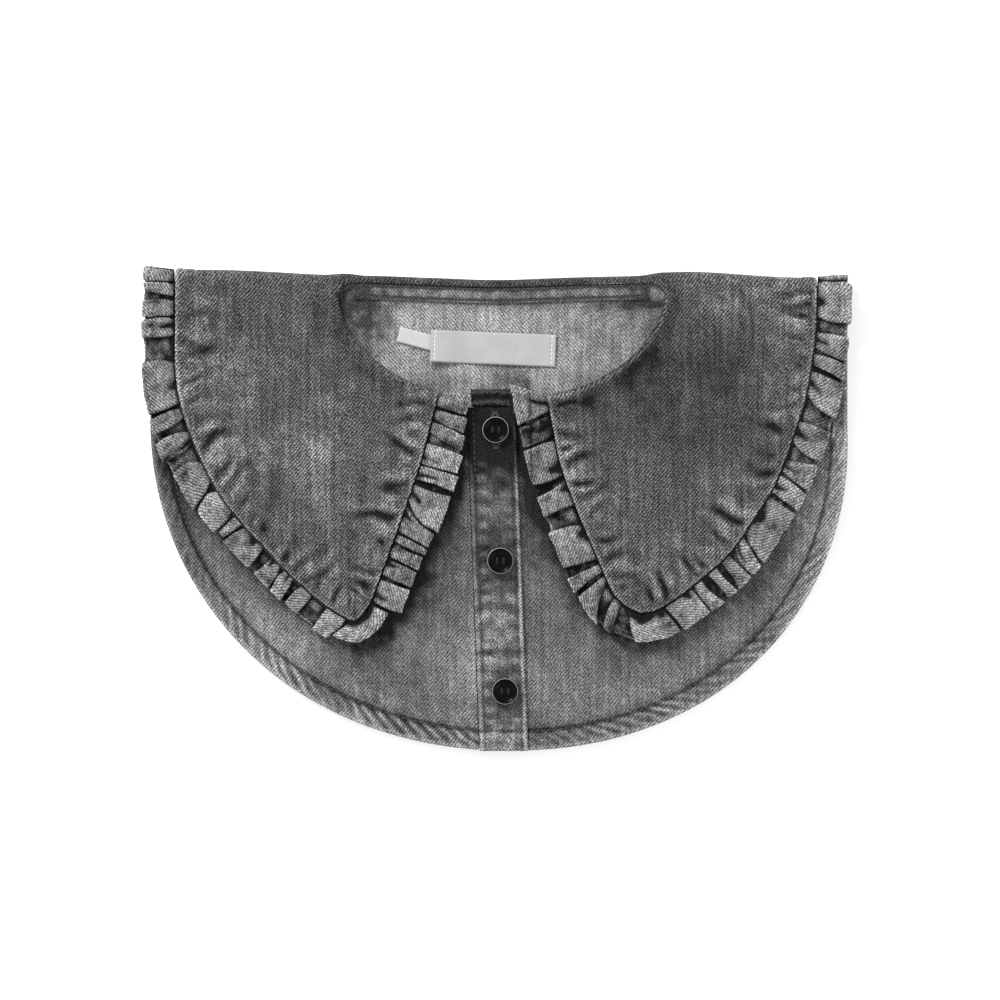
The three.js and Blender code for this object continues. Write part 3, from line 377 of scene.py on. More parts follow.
# %% A few words for building node groups
def new_group(name, inputs, outputs):
    tree = bpy.data.node_groups.new(name, "ShaderNodeTree")
    for label, kind, value in inputs:
        socket = tree.interface.new_socket(label, in_out="INPUT", socket_type="NodeSocket" + kind)
        if value is not None:
            socket.default_value = value
    for label, kind in outputs:
        tree.interface.new_socket(label, in_out="OUTPUT", socket_type="NodeSocket" + kind)
    start = tree.nodes.new("NodeGroupInput")
    end = tree.nodes.new("NodeGroupOutput")
    return tree, start, end


def plug(tree, value, socket):
    """Links a socket, or sets a plain number or colour."""
    if isinstance(value, bpy.types.NodeSocket):
        tree.links.new(value, socket)
    else:
        socket.default_value = value


def maths(tree, operation, a, b=0.0, clamp=False):
    node = tree.nodes.new("ShaderNodeMath")
    node.operation = operation
    node.use_clamp = clamp
    plug(tree, a, node.inputs[0])
    plug(tree, b, node.inputs[1])
    return node.outputs[0]


def remap(tree, value, low, high, to_low, to_high):
    node = tree.nodes.new("ShaderNodeMapRange")
    plug(tree, value, node.inputs["Value"])
    for label, number in (("From Min", low), ("From Max", high), ("To Min", to_low), ("To Max", to_high)):
        plug(tree, number, node.inputs[label])
    return node.outputs["Result"]


# %% Colours, noise and stretched coordinates
def blend_colours(tree, share, a, b, kind="MIX"):
    node = tree.nodes.new("ShaderNodeMix")
    node.data_type = "RGBA"
    node.blend_type = kind
    plug(tree, share, node.inputs["Factor"])
    plug(tree, a, node.inputs["A"])
    plug(tree, b, node.inputs["B"])
    return next(s for s in node.outputs if s.type == "RGBA")


def noise(tree, vector, scale, detail=2.0, roughness=0.5):
    node = tree.nodes.new("ShaderNodeTexNoise")
    plug(tree, vector, node.inputs["Vector"])
    plug(tree, scale, node.inputs["Scale"])
    node.inputs["Detail"].default_value = detail
    node.inputs["Roughness"].default_value = roughness
    return node.outputs["Fac"]


def stretched(tree, vector, scale, turn=0.0):
    node = tree.nodes.new("ShaderNodeMapping")
    plug(tree, vector, node.inputs["Vector"])
    node.inputs["Scale"].default_value = scale
    node.inputs["Rotation"].default_value = (0, 0, turn)
    return node.outputs["Vector"]


print("ready to build groups in Blender", bpy.app.version_string)


# %% The twill group
# All in millimetres of cloth, or waves to the millimetre.
WANDER_SCALE = 0.08
WANDER_REACH = 2.2
BEAD_PITCH = 1.75
BEAD_SHARE = 0.11
FLOAT_SCALE = (1.3, 0.6, 1)
GRIT_SCALE = (2.1, 1.8, 1)
STREAK_SCALE = (0.55, 0.03, 1)
DARKEST, PALEST = -1.1, 0.72


def make_twill_group():
    inputs = [("Cloth", "Vector", None), ("Rib Pitch", "Float", 1.5), ("Slant", "Float", 0.85)]
    tree, start, end = new_group("twill_weave", inputs, [("Height", "Float"), ("Tone", "Float")])
    cloth = start.outputs["Cloth"]
    split = tree.nodes.new("ShaderNodeSeparateXYZ")
    tree.links.new(cloth, split.inputs[0])
    across, up = split.outputs["X"], split.outputs["Y"]
    over_ribs = maths(tree, "SUBTRACT", across, maths(tree, "MULTIPLY", up, start.outputs["Slant"]))
    along_ribs = maths(tree, "ADD", up, maths(tree, "MULTIPLY", across, start.outputs["Slant"]))
    ribwise = tree.nodes.new("ShaderNodeCombineXYZ")
    tree.links.new(over_ribs, ribwise.inputs["X"])
    tree.links.new(along_ribs, ribwise.inputs["Y"])
    ribwise = ribwise.outputs[0]
    wander = maths(tree, "MULTIPLY", noise(tree, cloth, WANDER_SCALE, 2.0), WANDER_REACH)
    turns = maths(tree, "DIVIDE", maths(tree, "ADD", over_ribs, wander), start.outputs["Rib Pitch"])
    rib = maths(tree, "SINE", maths(tree, "MULTIPLY", turns, 2 * math.pi))
    steps = maths(tree, "DIVIDE", maths(tree, "ADD", along_ribs, wander), BEAD_PITCH)
    beads = maths(tree, "SINE", maths(tree, "MULTIPLY", steps, 2 * math.pi))
    floats = noise(tree, stretched(tree, ribwise, FLOAT_SCALE), 1.0, 1.0, 0.6)
    grit = noise(tree, stretched(tree, cloth, GRIT_SCALE), 1.0, 1.0, 0.8)
    streak = noise(tree, stretched(tree, cloth, STREAK_SCALE), 1.0, 2.0)
    height = maths(tree, "ADD", maths(tree, "MULTIPLY", rib, 0.4), remap(tree, floats, 0.3, 0.7, 0.0, 0.9))
    broken = maths(tree, "MULTIPLY", rib, remap(tree, grit, 0.35, 0.6, 0.2, 0.62))
    speckled = remap(tree, floats, 0.3, 0.7, -0.55, 0.55)
    gritty = remap(tree, grit, 0.3, 0.7, -0.85, 0.85)
    streaked = remap(tree, streak, 0.3, 0.7, -0.3, 0.3)
    beaded = maths(tree, "MULTIPLY", beads, BEAD_SHARE)
    tone = maths(tree, "ADD", maths(tree, "ADD", broken, speckled), maths(tree, "ADD", gritty, streaked))
    tone = maths(tree, "ADD", tone, beaded)
    tree.links.new(height, end.inputs["Height"])
    tree.links.new(remap(tree, tone, DARKEST, PALEST, DARKEST, PALEST), end.inputs["Tone"])
    return tree


twill_group = make_twill_group()
print("twill group:", len(twill_group.nodes), "nodes")

# %% [markdown]
# ## Denim, as it is washed
# Washing takes the dye off wherever the cloth stands proud: on the puckers beside a seam, on folded edges and
# on the tops of pleats. Hollows keep it. Blender can find crests by itself, with Geometry's Pointiness, but
# that depends on the mesh and is lost in the exported model. So the mesh code below writes it as one number
# for each point, from -1 in a hollow to 1 on a crest, and this group turns it into colour, with soft clouds
# over it. The same number also carries painted shade, in tucks, creases and dents, beside the frill and round
# the neck, and the painted highlight on the rims of the buttons.


# %% The wash group
CLOUD_SCALE = 0.035
MOTTLE_SCALE = 0.19
SPECKLE_STOPS = 1.9


def make_wash_group():
    inputs = [
        ("Cloth", "Vector", None),
        ("Tone", "Float", 0.0),
        ("Wear and Light", "Float", 0.0),
        ("Base", "Color", (0.1, 0.1, 0.1, 1)),
        ("Pale", "Color", (0.3, 0.3, 0.3, 1)),
        ("Deep", "Color", (0.02, 0.02, 0.02, 1)),
        ("Contrast", "Float", 1.0),
        ("Clouds", "Float", 0.25),
    ]
    tree, start, end = new_group("wash_down", inputs, [("Color", "Color"), ("Roughness", "Float")])
    given = start.outputs
    clouds = noise(tree, given["Cloth"], CLOUD_SCALE, 3.0, 0.6)
    mottles = noise(tree, given["Cloth"], MOTTLE_SCALE, 2.0, 0.6)
    cloudy = remap(tree, clouds, 0.3, 0.7, -1.0, 1.0)
    mottled = remap(tree, mottles, 0.3, 0.7, -0.8, 0.8)
    patches = maths(tree, "ADD", cloudy, mottled)
    clouded = maths(tree, "MULTIPLY", patches, given["Clouds"])
    wear_and_light = maths(tree, "ADD", given["Wear and Light"], clouded)
    pale = blend_colours(tree, remap(tree, wear_and_light, 0.0, 1.0, 0.0, 1.0), given["Base"], given["Pale"])
    deep = blend_colours(tree, remap(tree, wear_and_light, 0.0, -1.0, 0.0, 1.0), pale, given["Deep"])
    speckle = maths(tree, "MULTIPLY", given["Tone"], given["Contrast"])
    factor = maths(tree, "POWER", 2.0, maths(tree, "MULTIPLY", speckle, SPECKLE_STOPS))
    white = tree.nodes.new("ShaderNodeCombineColor")
    for channel in white.inputs:
        plug(tree, factor, channel)
    colour = blend_colours(tree, 1.0, deep, white.outputs[0], "MULTIPLY")
    tree.links.new(colour, end.inputs["Color"])
    tree.links.new(remap(tree, wear_and_light, -1.0, 1.0, 0.96, 0.84), end.inputs["Roughness"])
    return tree


wash_group = make_wash_group()
print("wash group:", len(wash_group.nodes), "nodes")

# %% [markdown]
# ## The materials
# All the cloths share the two groups and differ in their dye, their wear and the size of the ribs. Cloth has
# almost no gloss, only the faint sheen of its loose fibres, so sheen does that and the specular stays low.


# %% A denim from the two groups
RIB_HEIGHT = 0.00022


def new_material(name):
    material = bpy.data.materials.new(name)
    material.use_nodes = True
    return material, material.node_tree, material.node_tree.nodes["Principled BSDF"]


def make_denim(name, base, pale, deep, contrast=1.0, clouds=0.25, pitch=1.5, slant=0.85):
    material, tree, shader = new_material(name)
    cloth = tree.nodes.new("ShaderNodeUVMap")
    cloth.uv_map = "cloth"
    attribute = tree.nodes.new("ShaderNodeAttribute")
    attribute.attribute_name = "wear_and_light"
    twill = tree.nodes.new("ShaderNodeGroup")
    twill.node_tree = twill_group
    wash = tree.nodes.new("ShaderNodeGroup")
    wash.node_tree = wash_group
    bump = tree.nodes.new("ShaderNodeBump")
    tree.links.new(cloth.outputs["UV"], twill.inputs["Cloth"])
    twill.inputs["Rib Pitch"].default_value = pitch
    twill.inputs["Slant"].default_value = slant
    tree.links.new(cloth.outputs["UV"], wash.inputs["Cloth"])
    tree.links.new(twill.outputs["Tone"], wash.inputs["Tone"])
    tree.links.new(attribute.outputs["Fac"], wash.inputs["Wear and Light"])
    for label, colour in (("Base", base), ("Pale", pale), ("Deep", deep)):
        wash.inputs[label].default_value = (*colour, 1)
    wash.inputs["Contrast"].default_value = contrast
    wash.inputs["Clouds"].default_value = clouds
    tree.links.new(twill.outputs["Height"], bump.inputs["Height"])
    bump.inputs["Distance"].default_value = RIB_HEIGHT
    bump.inputs["Strength"].default_value = 0.8
    tree.links.new(wash.outputs["Color"], shader.inputs["Base Color"])
    tree.links.new(wash.outputs["Roughness"], shader.inputs["Roughness"])
    tree.links.new(bump.outputs["Normal"], shader.inputs["Normal"])
    shader.inputs["Specular IOR Level"].default_value = 0.12
    shader.inputs["Sheen Weight"].default_value = 0.06
    shader.inputs["Sheen Roughness"].default_value = 0.6
    return material


def grey(level, warm=0.0):
    """A linear grey from its value on the 0 to 255 screen scale, a little purple where warm is above 0."""
    linear = (level / 255) ** 2.2
    return (linear * (1 + warm), linear * (1 - warm * 0.5), linear * (1 + warm * 0.8))


print("middle grey is", round(grey(128)[0], 3), "in linear light")

# %% The denims, each in its own wash
# Dye of the plain cloth, of its crests and of its hollows; the hollow colour also gives the painted shade.
collar_denim = make_denim(
    "collar_denim", grey(73, 0.012), grey(142), grey(24, 0.03), clouds=0.22, contrast=1.3
)
bib_denim = make_denim(
    "bib_denim", grey(99, 0.012), grey(152), grey(34, 0.03), clouds=0.26, contrast=0.9
)
frill_denim = make_denim(
    "frill_denim", grey(106, 0.01), grey(150), grey(20, 0.03), clouds=0.3, contrast=0.98, pitch=1.35
)
inside_denim = make_denim(
    "inside_denim", grey(131, 0.012), grey(158), grey(56, 0.02), clouds=0.3, contrast=0.78
)
band_denim = make_denim(
    "band_denim", grey(79, 0.012), grey(140), grey(28, 0.04), clouds=0.26, pitch=1.3
)
dark_binding = make_denim(
    "dark_binding", grey(36, 0.1), grey(92, 0.08), grey(10, 0.1), clouds=0.6, contrast=1.1, pitch=0.9
)
print("materials in the scene:", len(bpy.data.materials))

# %% [markdown]
# ## From a grid to a cloth
# Every cloth here is a grid of points for its upper face and one for its lower face, joined along the rim
# into one closed piece. Blender's Solidify modifier could add the lower face, but it can't keep it flat under
# a relief. A grid also keeps the yarn direction, which a remeshed blob would lose, so the twill can follow
# the cut.

# %% The way up from a grid, and its rounded edges
def grid_normals(points):
    down = np.gradient(points, axis=0)
    across = np.gradient(points, axis=1)
    normal = np.cross(down, across)
    normal /= np.linalg.norm(normal, axis=-1, keepdims=True) + 1e-12
    return normal * np.sign(normal[..., 2].sum())


def rounded(distance, radius):
    """1 away from an edge, falling to 0.15 at it on a quarter circle, for a pressed fold."""
    share = np.clip(1 - distance / radius, 0, 1)
    return np.maximum(np.sqrt(1 - share**2), 0.15)


print("thickness of a fold, half a radius from its edge:", round(float(rounded(0.5, 1.0)), 2))


# %% From points to a piece that rides with the part
def add_piece(name, points, faces, material, uv=None, wear_and_light=None, sharp=None):
    """Makes a mesh object from points in pattern millimetres, and lets it ride with the part."""
    mesh = bpy.data.meshes.new(name)
    mesh.from_pydata(((points + SHIFT) / 1000).tolist(), [], faces)
    mesh.update()
    if uv is not None:
        layer = mesh.uv_layers.new(name="cloth")
        corners = np.empty(len(mesh.loops), int)
        mesh.loops.foreach_get("vertex_index", corners)
        layer.data.foreach_set("uv", uv[corners].astype(np.float32).ravel())
    values = np.zeros(len(points)) if wear_and_light is None else wear_and_light
    mesh.attributes.new("wear_and_light", "FLOAT", "POINT").data.foreach_set("value", values.astype(np.float32))
    mesh.shade_smooth()
    if sharp is not None:
        mesh.set_sharp_from_angle(angle=math.radians(sharp))
    mesh.materials.append(material)
    piece = bpy.data.objects.new(name, mesh)
    bpy.context.collection.objects.link(piece)
    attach(piece, "root")
    return piece


def closed_sheet(name, top, bottom, material, uv, wear_and_light, sharp=60):
    rows, columns = top.shape[:2]
    index = np.arange(rows * columns).reshape(rows, columns)
    lower = index + rows * columns

    def quads(a, b, c, d):
        return np.stack([a.ravel(), b.ravel(), c.ravel(), d.ravel()], axis=1)

    faces = np.concatenate([
        quads(index[:-1, :-1], index[:-1, 1:], index[1:, 1:], index[1:, :-1]),
        quads(lower[:-1, :-1], lower[1:, :-1], lower[1:, 1:], lower[:-1, 1:]),
        quads(index[:-1, 0], index[1:, 0], lower[1:, 0], lower[:-1, 0]),
        quads(index[1:, -1], index[:-1, -1], lower[:-1, -1], lower[1:, -1]),
        quads(index[0, 1:], index[0, :-1], lower[0, :-1], lower[0, 1:]),
        quads(index[-1, :-1], index[-1, 1:], lower[-1, 1:], lower[-1, :-1]),
    ])
    points = np.concatenate([top.reshape(-1, 3), bottom.reshape(-1, 3)])
    a, b, c, d = (points[faces[:, k]] for k in range(4))
    if (np.cross(c - a, d - b) * a).sum() < 0:
        faces = faces[:, ::-1]
    both_uv = np.concatenate([uv.reshape(-1, 2)] * 2)
    both_wear_and_light = np.concatenate([wear_and_light.ravel(), wear_and_light.ravel() * 0.5])
    piece = add_piece(name, points, faces.tolist(), material, both_uv, both_wear_and_light, sharp)
    return piece


# %% [markdown]
# ## The back of the bib
# Through the neck the pale reverse of the cloth shows, lying in soft waves. A reverse has the weft on top, so
# it is lighter than the face and its ribs lean the other way. A square grid would end in ragged steps at the
# round hem. So the lines run from the neck to the hem like a fan, which is how a curved edge keeps a tidy row
# of points.


# %% Rows that get closer towards the hem
HEM_ROWS_START = 10.2


def rim_rows(length, fine):
    """Distances from the rim, in millimetres, from the neck to the rim: close together near the hem."""
    inner = np.linspace(0, 1, fine)[:-1] ** 0.8
    hem = np.array([9.6, 9.2, 8.8, 8.5, 8.2, 7.7, 7.0, 6.2, 5.3, 4.4, 3.5, 2.6, 1.8, 1.1, 0.6, 0.25, 0.0])
    return np.concatenate([length - inner * (length - HEM_ROWS_START), hem])


print("rows on a 150 mm line:", len(rim_rows(150, 60)))


# %% A fan of lines, laid as a cloth
def fan(necks, rims, inset, fine):
    """A grid from the neck points to the rim points, with each point's distance from the rim."""
    grid, distances = [], []
    for neck, rim in zip(necks, rims):
        length = math.hypot(rim[0] - neck[0], rim[1] - neck[1])
        away = rim_rows(length, fine)
        away = np.maximum(away, inset)
        share = 1 - away / length
        x = mix(neck[0], rim[0], share)
        y = mix(neck[1], rim[1], share)
        grid.append(np.stack([x, y + fold_y(x, np.maximum(-y, 0))], axis=-1))
        distances.append(away - inset)
    return np.array(grid), np.array(distances)


def lay_cloth(name, grid, bottom, thickness, relief, edge, material, wear_and_light, uv=None):
    """Lays a grid of X, Y points at a height, with a relief on its upper face and rounded edges."""
    x, y = grid[..., 0], grid[..., 1]
    base = bottom(x, y)
    body = thickness * edge
    middle = base + thickness / 2
    top = np.stack([x, y, middle + body / 2 + relief * edge], axis=-1)
    under = np.stack([x, y, middle - body / 2], axis=-1)
    return closed_sheet(name, top, under, material, grid if uv is None else uv, wear_and_light)


# %% Lay the back of the bib
BACK_INSET = 0.6
NECK_SEAM_ROOM = 0.6
NECK_SEAM_FADE = 0.82
BACK_LINES = 260
BACK_ROWS = 60


def make_back_panel():
    shares = np.linspace(0, 1, BACK_LINES)
    half = NECK_HALF_WIDTH + NECK_TUCK
    x = NECK_CENTRE + mix(-half, half, shares)
    fade = smooth(np.abs(x - NECK_CENTRE), NECK_SEAM_FADE * half, half)
    necks = np.stack([x, -(NECK_SEAM_DROP + NECK_SEAM_ROOM) * (1 - fade)], axis=-1)
    rims = np.stack(outline_point(shares), axis=-1)
    grid, away = fan(necks, rims, BACK_INSET, BACK_ROWS)
    x, y = grid[..., 0], grid[..., 1]
    waves = 0.35 * ripple(x, y, 26, 3) + 0.18 * ripple(x * 1.2, y, 9, 4)
    # Flat at the rim and under the tape.
    waves = np.maximum(waves, -0.2) * smooth(away, 8, 20) * smooth(-y, 8, 20)
    # Painted shade in both corners of the neck, under the collar's edges.
    wear_and_light = 0.8 * waves - 0.85 * bell(x, -62, 20) * bell(y, -14, 20) - 0.6 * bell(x, 64, 17) * bell(y, -14, 18)
    # A painted shadow under the tape's edge, and a darker band near the foot of the neck.
    wear_and_light = wear_and_light - 0.55 * bell(y, -8.5, 2.2) - 0.35 * bell(y, -46, 9)
    cloth, edge = panel_cloth(x, y), rounded(away, 0.8)
    reverse = grid * [-1, 1]
    piece = lay_cloth("back_panel_cloth", grid, back_lift, cloth, waves, edge, inside_denim, wear_and_light, reverse)
    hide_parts("back_panel")
    return piece


back_panel = make_back_panel()

# %% [markdown]
# ## The collar's pattern
# The edges of the leaves are drawn before the fronts are laid, because the fronts get a painted shade close
# to the frill that covers them.

# %% Edges of the collar in the flat pattern
# The outer seam of each leaf: share of the drop to the tip, then how far the seam has come in.
SEAM_DOWN = [0, 0.166, 0.255, 0.353, 0.469, 0.608, 0.718, 0.784, 0.849, 0.893, 0.923, 0.962, 0.992, 1]
SEAM_IN = {
    "left": [0, 0, 0, 0.028, 0.101, 0.229, 0.386, 0.503, 0.614, 0.703, 0.765, 0.86, 0.955, 1],
    "right": [0, 0.011, 0.034, 0.068, 0.137, 0.236, 0.364, 0.444, 0.552, 0.648, 0.716, 0.813, 0.915, 1],
}
FRONT_BOW = [(0, 0), (0.15, 0.42), (0.3, 0.8), (0.5, 0.98), (0.75, 1), (0.9, 0.95), (0.97, 0.55), (1, 0)]


def outer_seam(column, down):
    leaf = LEAVES[column]
    inward = read_table(list(zip(SEAM_DOWN, SEAM_IN[column])), down)
    x = leaf["side"] * mix(leaf["span"], leaf["tip"][0], inward)
    return np.stack([x, leaf["tip"][1] * down], axis=-1)


def front_edge(leaf, along, bow=1.0):
    x = mix(leaf["corner"][0], leaf["tip"][0], along) - bow * leaf["bow"] * read_table(FRONT_BOW, along)
    return np.stack([leaf["side"] * x, mix(leaf["corner"][1], leaf["tip"][1], along)], axis=-1)


def neck_edge(leaf, share):
    centre = leaf["side"] * NECK_CENTRE
    corner_angle = math.acos((leaf["corner"][0] - centre) / NECK_HALF_WIDTH)
    angle = corner_angle * (1 - share)
    miss = leaf["corner"][1] + NECK_TOP + NECK_DEPTH * math.sin(corner_angle)
    x = centre + NECK_HALF_WIDTH * math.cos(angle)
    return np.array([leaf["side"] * x, -NECK_TOP - NECK_DEPTH * math.sin(angle) + miss * (1 - share) ** 3])


def back_seam(leaf, share):
    angle = np.asarray(share) * math.pi / 2
    x = leaf["span"] * np.cos(angle) ** (2 / BACK_COLLAR_ROUNDNESS)
    down = BACK_COLLAR_DEPTH * np.sin(angle) ** (2 / BACK_COLLAR_ROUNDNESS)
    return np.stack([leaf["side"] * x, FOLD_LENGTH + down], axis=-1)


print("leaf tips at", outer_seam("left", 1.0).round(1), "and", outer_seam("right", 1.0).round(1))


# %% The seam that carries the frill, and how far a point lies from it
NORMAL_REACH = 4.0
FRILL_PAST_FOLD = 2.0
NEAREST_STEP = 0.3
NEAREST_BATCH = 2000
SEAM_STEPS = 97


class SeamPath:
    """A seam in the flat pattern, read by the distance along it."""

    def __init__(self, points, out_side):
        self.points = np.asarray(points, float)
        self.marks = np.concatenate([[0], np.cumsum(np.linalg.norm(np.diff(self.points, axis=0), axis=1))])
        self.total = self.marks[-1]
        self.out_side = out_side

    def at(self, distance):
        """A point of the seam. Before the start the path goes straight on."""
        first_way = (self.points[1] - self.points[0]) / self.marks[1]
        point = np.stack([np.interp(distance, self.marks, self.points[:, k]) for k in (0, 1)], axis=-1)
        return point + np.minimum(distance, 0)[..., None] * first_way

    def outward(self, distance):
        tangent = self.at(distance + NORMAL_REACH) - self.at(distance - NORMAL_REACH)
        tangent /= np.linalg.norm(tangent, axis=-1, keepdims=True) + 1e-9
        return np.stack([-tangent[..., 1], tangent[..., 0]], axis=-1) * self.out_side

    def nearest(self, points):
        """Distance from the seam, and the place along it, of each point."""
        marks = np.arange(0, self.total, NEAREST_STEP)
        seam = self.at(marks)
        away, along = np.empty(len(points)), np.empty(len(points))
        for start in range(0, len(points), NEAREST_BATCH):
            part = points[start:start + NEAREST_BATCH]
            gaps = np.hypot(part[:, None, 0] - seam[None, :, 0], part[:, None, 1] - seam[None, :, 1])
            best = gaps.argmin(axis=1)
            away[start:start + NEAREST_BATCH] = gaps[np.arange(len(part)), best]
            along[start:start + NEAREST_BATCH] = marks[best]
        return away, along


def leaf_seam(column):
    leaf = LEAVES[column]
    steps = np.linspace(0, 1, SEAM_STEPS)
    fold = [[leaf["side"] * leaf["span"], FOLD_LENGTH + FRILL_PAST_FOLD]]
    points = np.concatenate([front_edge(leaf, steps), outer_seam(column, 1 - steps)[1:], fold])
    return SeamPath(points, -leaf["side"])


LEAF_SEAMS = {column: leaf_seam(column) for column in LEAVES}
for column, path in LEAF_SEAMS.items():
    print(column, "frill seam", round(path.total), "mm")


# %% How much painted shade the frill lays on the bib
FRILL_WIDTH = 13.0
SHADE_REACH = 5.0


def leaf_shade(x, y, column):
    """Painted shade: 1 under the frill, falling softly to 0 on the open cloth beside it."""
    away, _ = LEAF_SEAMS[column].nearest(np.stack([x.ravel(), y.ravel()], axis=-1))
    past = np.maximum(away.reshape(x.shape) - FRILL_WIDTH, 0)
    return 0.55 * bell(past, 0, SHADE_REACH) + 0.45 * bell(past, 0, 3.5 * SHADE_REACH)


print("shade under the left frill:", leaf_shade(np.array([-130.0]), np.array([-60.0]), "left").round(2))

# %% [markdown]
# ## The two fronts
# The bib's edge is turned under and stitched 8 mm in. In the wash the hem shrinks less than the cloth, so it
# twists into slanting puckers, which wear pale on top and stay dark between. People who mend jeans call it
# roping. It could be painted on, but real relief also catches the light from the side. One slanting wave,
# bent by slow noise, writes the height and the wear together, so the two always agree.


# %% The hem's puckers, and the groove of its stitches
STITCH_LINE = 8.3
ROPE_SLANT = 1.35
ROPE_PITCH = 6.3
ROPE_RADIUS = 125


def roping(x, y, away):
    """Relief and wear of the hem: slanting puckers along the edge and a groove under the stitches."""
    along = np.unwrap(np.arctan2(y + BIB_SIDE, x - BIB_CENTRE), axis=0) * ROPE_RADIUS
    uneven = 0.8 * ripple(x, y, 30, 21) + 0.5 * ripple(x, y, 12, 22)
    wave = np.sin((along + away * ROPE_SLANT) * 2 * math.pi / ROPE_PITCH + 1.7 * uneven)
    # Narrow crests and wide hollows, strongest at the bottom of the bib.
    wave = np.where(wave > 0, wave**2, -np.abs(wave) ** 0.8)
    inside = smooth(away, 0.4, 2.5) * (1 - smooth(away, STITCH_LINE - 1.5, STITCH_LINE + 1.0))
    beside = bell(away, STITCH_LINE + 3.2, 2.6)
    strength = np.clip(0.6 + 0.5 * ripple(x, y, 30, 23), 0.1, 1.2) * (0.6 + 0.6 * smooth(-y, 95, 150))
    # The puckers, then the groove that the stitches pull, and a pale edge.
    relief = 0.34 * wave * strength * (inside + 0.45 * beside) - 0.5 * bell(away, STITCH_LINE, 0.9)
    wear_and_light = 0.62 * wave * strength * (inside + 0.4 * beside) - 0.95 * bell(away, STITCH_LINE, 1.0)
    wear_and_light = wear_and_light + 0.55 * bell(away, 0.7, 0.9) - 0.12 * inside
    return relief, wear_and_light


print("the hem twists into about", round(math.pi * ROPE_RADIUS / ROPE_PITCH), "puckers")


# %% Lay the two fronts
BAND_OVERHANG = 1.0
FRONT_LINES = 230
FRONT_ROWS = 58
TRIAL = np.linspace(0, 1, 20001)


def make_front(name, side):
    def band_edge(y):
        gap = SEAM / 2 if side < 0 else SEAM - BAND_OVERHANG
        return float(band_middle(y)) + side * (BAND_WIDTH / 2 + gap)

    half = NECK_HALF_WIDTH + NECK_TUCK
    depth = NECK_DEPTH + NECK_TUCK
    last_angle = math.acos(side * (band_edge(BIB_NECK_BOTTOM) - NECK_CENTRE) / half)
    shares = np.linspace(0, 1, FRONT_LINES)
    last_share = np.interp(band_edge(-BIB_SIDE - BIB_ROUND_DEPTH), outline_point(TRIAL)[0], TRIAL)
    angle = last_angle * shares
    start = np.minimum(1, shares * 14)
    necks = np.stack([
        NECK_CENTRE + side * half * np.cos(angle),
        -NECK_TOP * start - depth * np.sin(angle),
    ], axis=-1)
    rims = np.stack(outline_point(mix(0.0 if side < 0 else 1.0, last_share, shares)), axis=-1)
    grid, away = fan(necks, rims, 0.0, FRONT_ROWS)
    x, y = grid[..., 0], grid[..., 1]
    relief, wear_and_light = roping(x, y, away)
    # The open cloth sags a little, and is raised along the seam of the band.
    sag = 0.3 * ripple(x, y, 38, 31) + 0.1 * ripple(x, y, 11, 32)
    middle = smooth(away, 12, 24)
    from_band = np.abs(x - band_middle(y)) - BAND_WIDTH / 2
    seam = bell(from_band, 1.0, 1.4) * (0.6 + 0.6 * ripple(x, y, 9, 33))
    relief = relief + np.maximum(sag, -0.35) * middle + 0.2 * seam * middle
    wear_and_light = wear_and_light + 0.5 * sag * middle + 0.22 * seam * middle
    # Painted shade beside the raised button band, in the upper part of the bib.
    wear_and_light = wear_and_light - 0.3 * bell(from_band, 5, 5) * smooth(y, -150, -90)
    # Painted shade beside the frill, strongest near the middle, and the paler and darker parts of each front.
    painted_frill_shade = leaf_shade(x, y, "right" if side > 0 else "left")
    wear_and_light = wear_and_light - mix(0.36, 1.0, smooth(np.abs(x), 85, 60)) * painted_frill_shade
    if side > 0:
        wear_and_light = wear_and_light + 0.16 * bell(x, 52, 40) * bell(y, -172, 26) + 0.6 * smooth(x, 112, 135)
    else:
        wear_and_light = wear_and_light + 0.36 * bell(x, -95, 50) * bell(y, -150, 24)
        wear_and_light = wear_and_light - 0.2 * bell(x, -25, 22) * smooth(y, -185, -120)
        wear_and_light = wear_and_light - 0.25 * bell(x, -142, 14) * bell(y, -88, 30)

    def bottom(px, py):
        return front_bottom(px, py) + (band_step(px, py) if side < 0 else 0)

    thickness, edge = panel_cloth(x, y), rounded(away, 1.0)
    piece = lay_cloth(name + "_cloth", grid, bottom, thickness, relief, edge, bib_denim, wear_and_light)
    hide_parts(name)
    return piece


front_left = make_front("front_panel_left", -1)
front_right = make_front("front_panel_right", 1)

# %% [markdown]
# ## The button bands
# The left front buttons over the right one, so its band lies on top. Its right edge is a pressed fold that
# has worn to a pale cord, its left edge is topstitched, and the cloth between has short creases across it
# where the bib bends. Around each button the cloth is darker. Those marks sit at places that can be
# measured on the band, so each is a bell-shaped dip or rise at its own distance from an edge, where noise
# would put them anywhere.


# %% Lay the under band
def band_grid(left, right, top, columns, rows):
    y = np.linspace(top, -BIB_SIDE - BIB_ROUND_DEPTH, rows)[:, None] * np.ones(columns)
    across = mix(left, right, (1 - np.cos(np.linspace(0, math.pi, columns))) / 2)
    return np.stack([band_middle(y) + across, y], axis=-1), across * np.ones((rows, 1))


def make_under_band():
    left, right = -BAND_WIDTH / 2 + SEAM / 2, BAND_WIDTH / 2 - BAND_OVERHANG
    grid, across = band_grid(left, right, BIB_NECK_BOTTOM, 24, 160)
    x, y = grid[..., 0], grid[..., 1]
    edge = rounded(np.minimum(across - across[:, :1], across[:, -1:] - across), 0.6)
    waves, wear_and_light = 0.06 * ripple(x, y, 12, 41), 0 * x - 0.5
    piece = lay_cloth("under_band_cloth", grid, front_bottom, UNDER_BAND_CLOTH, waves, edge, band_denim, wear_and_light)
    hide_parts("under_placket")
    return piece


under_band = make_under_band()


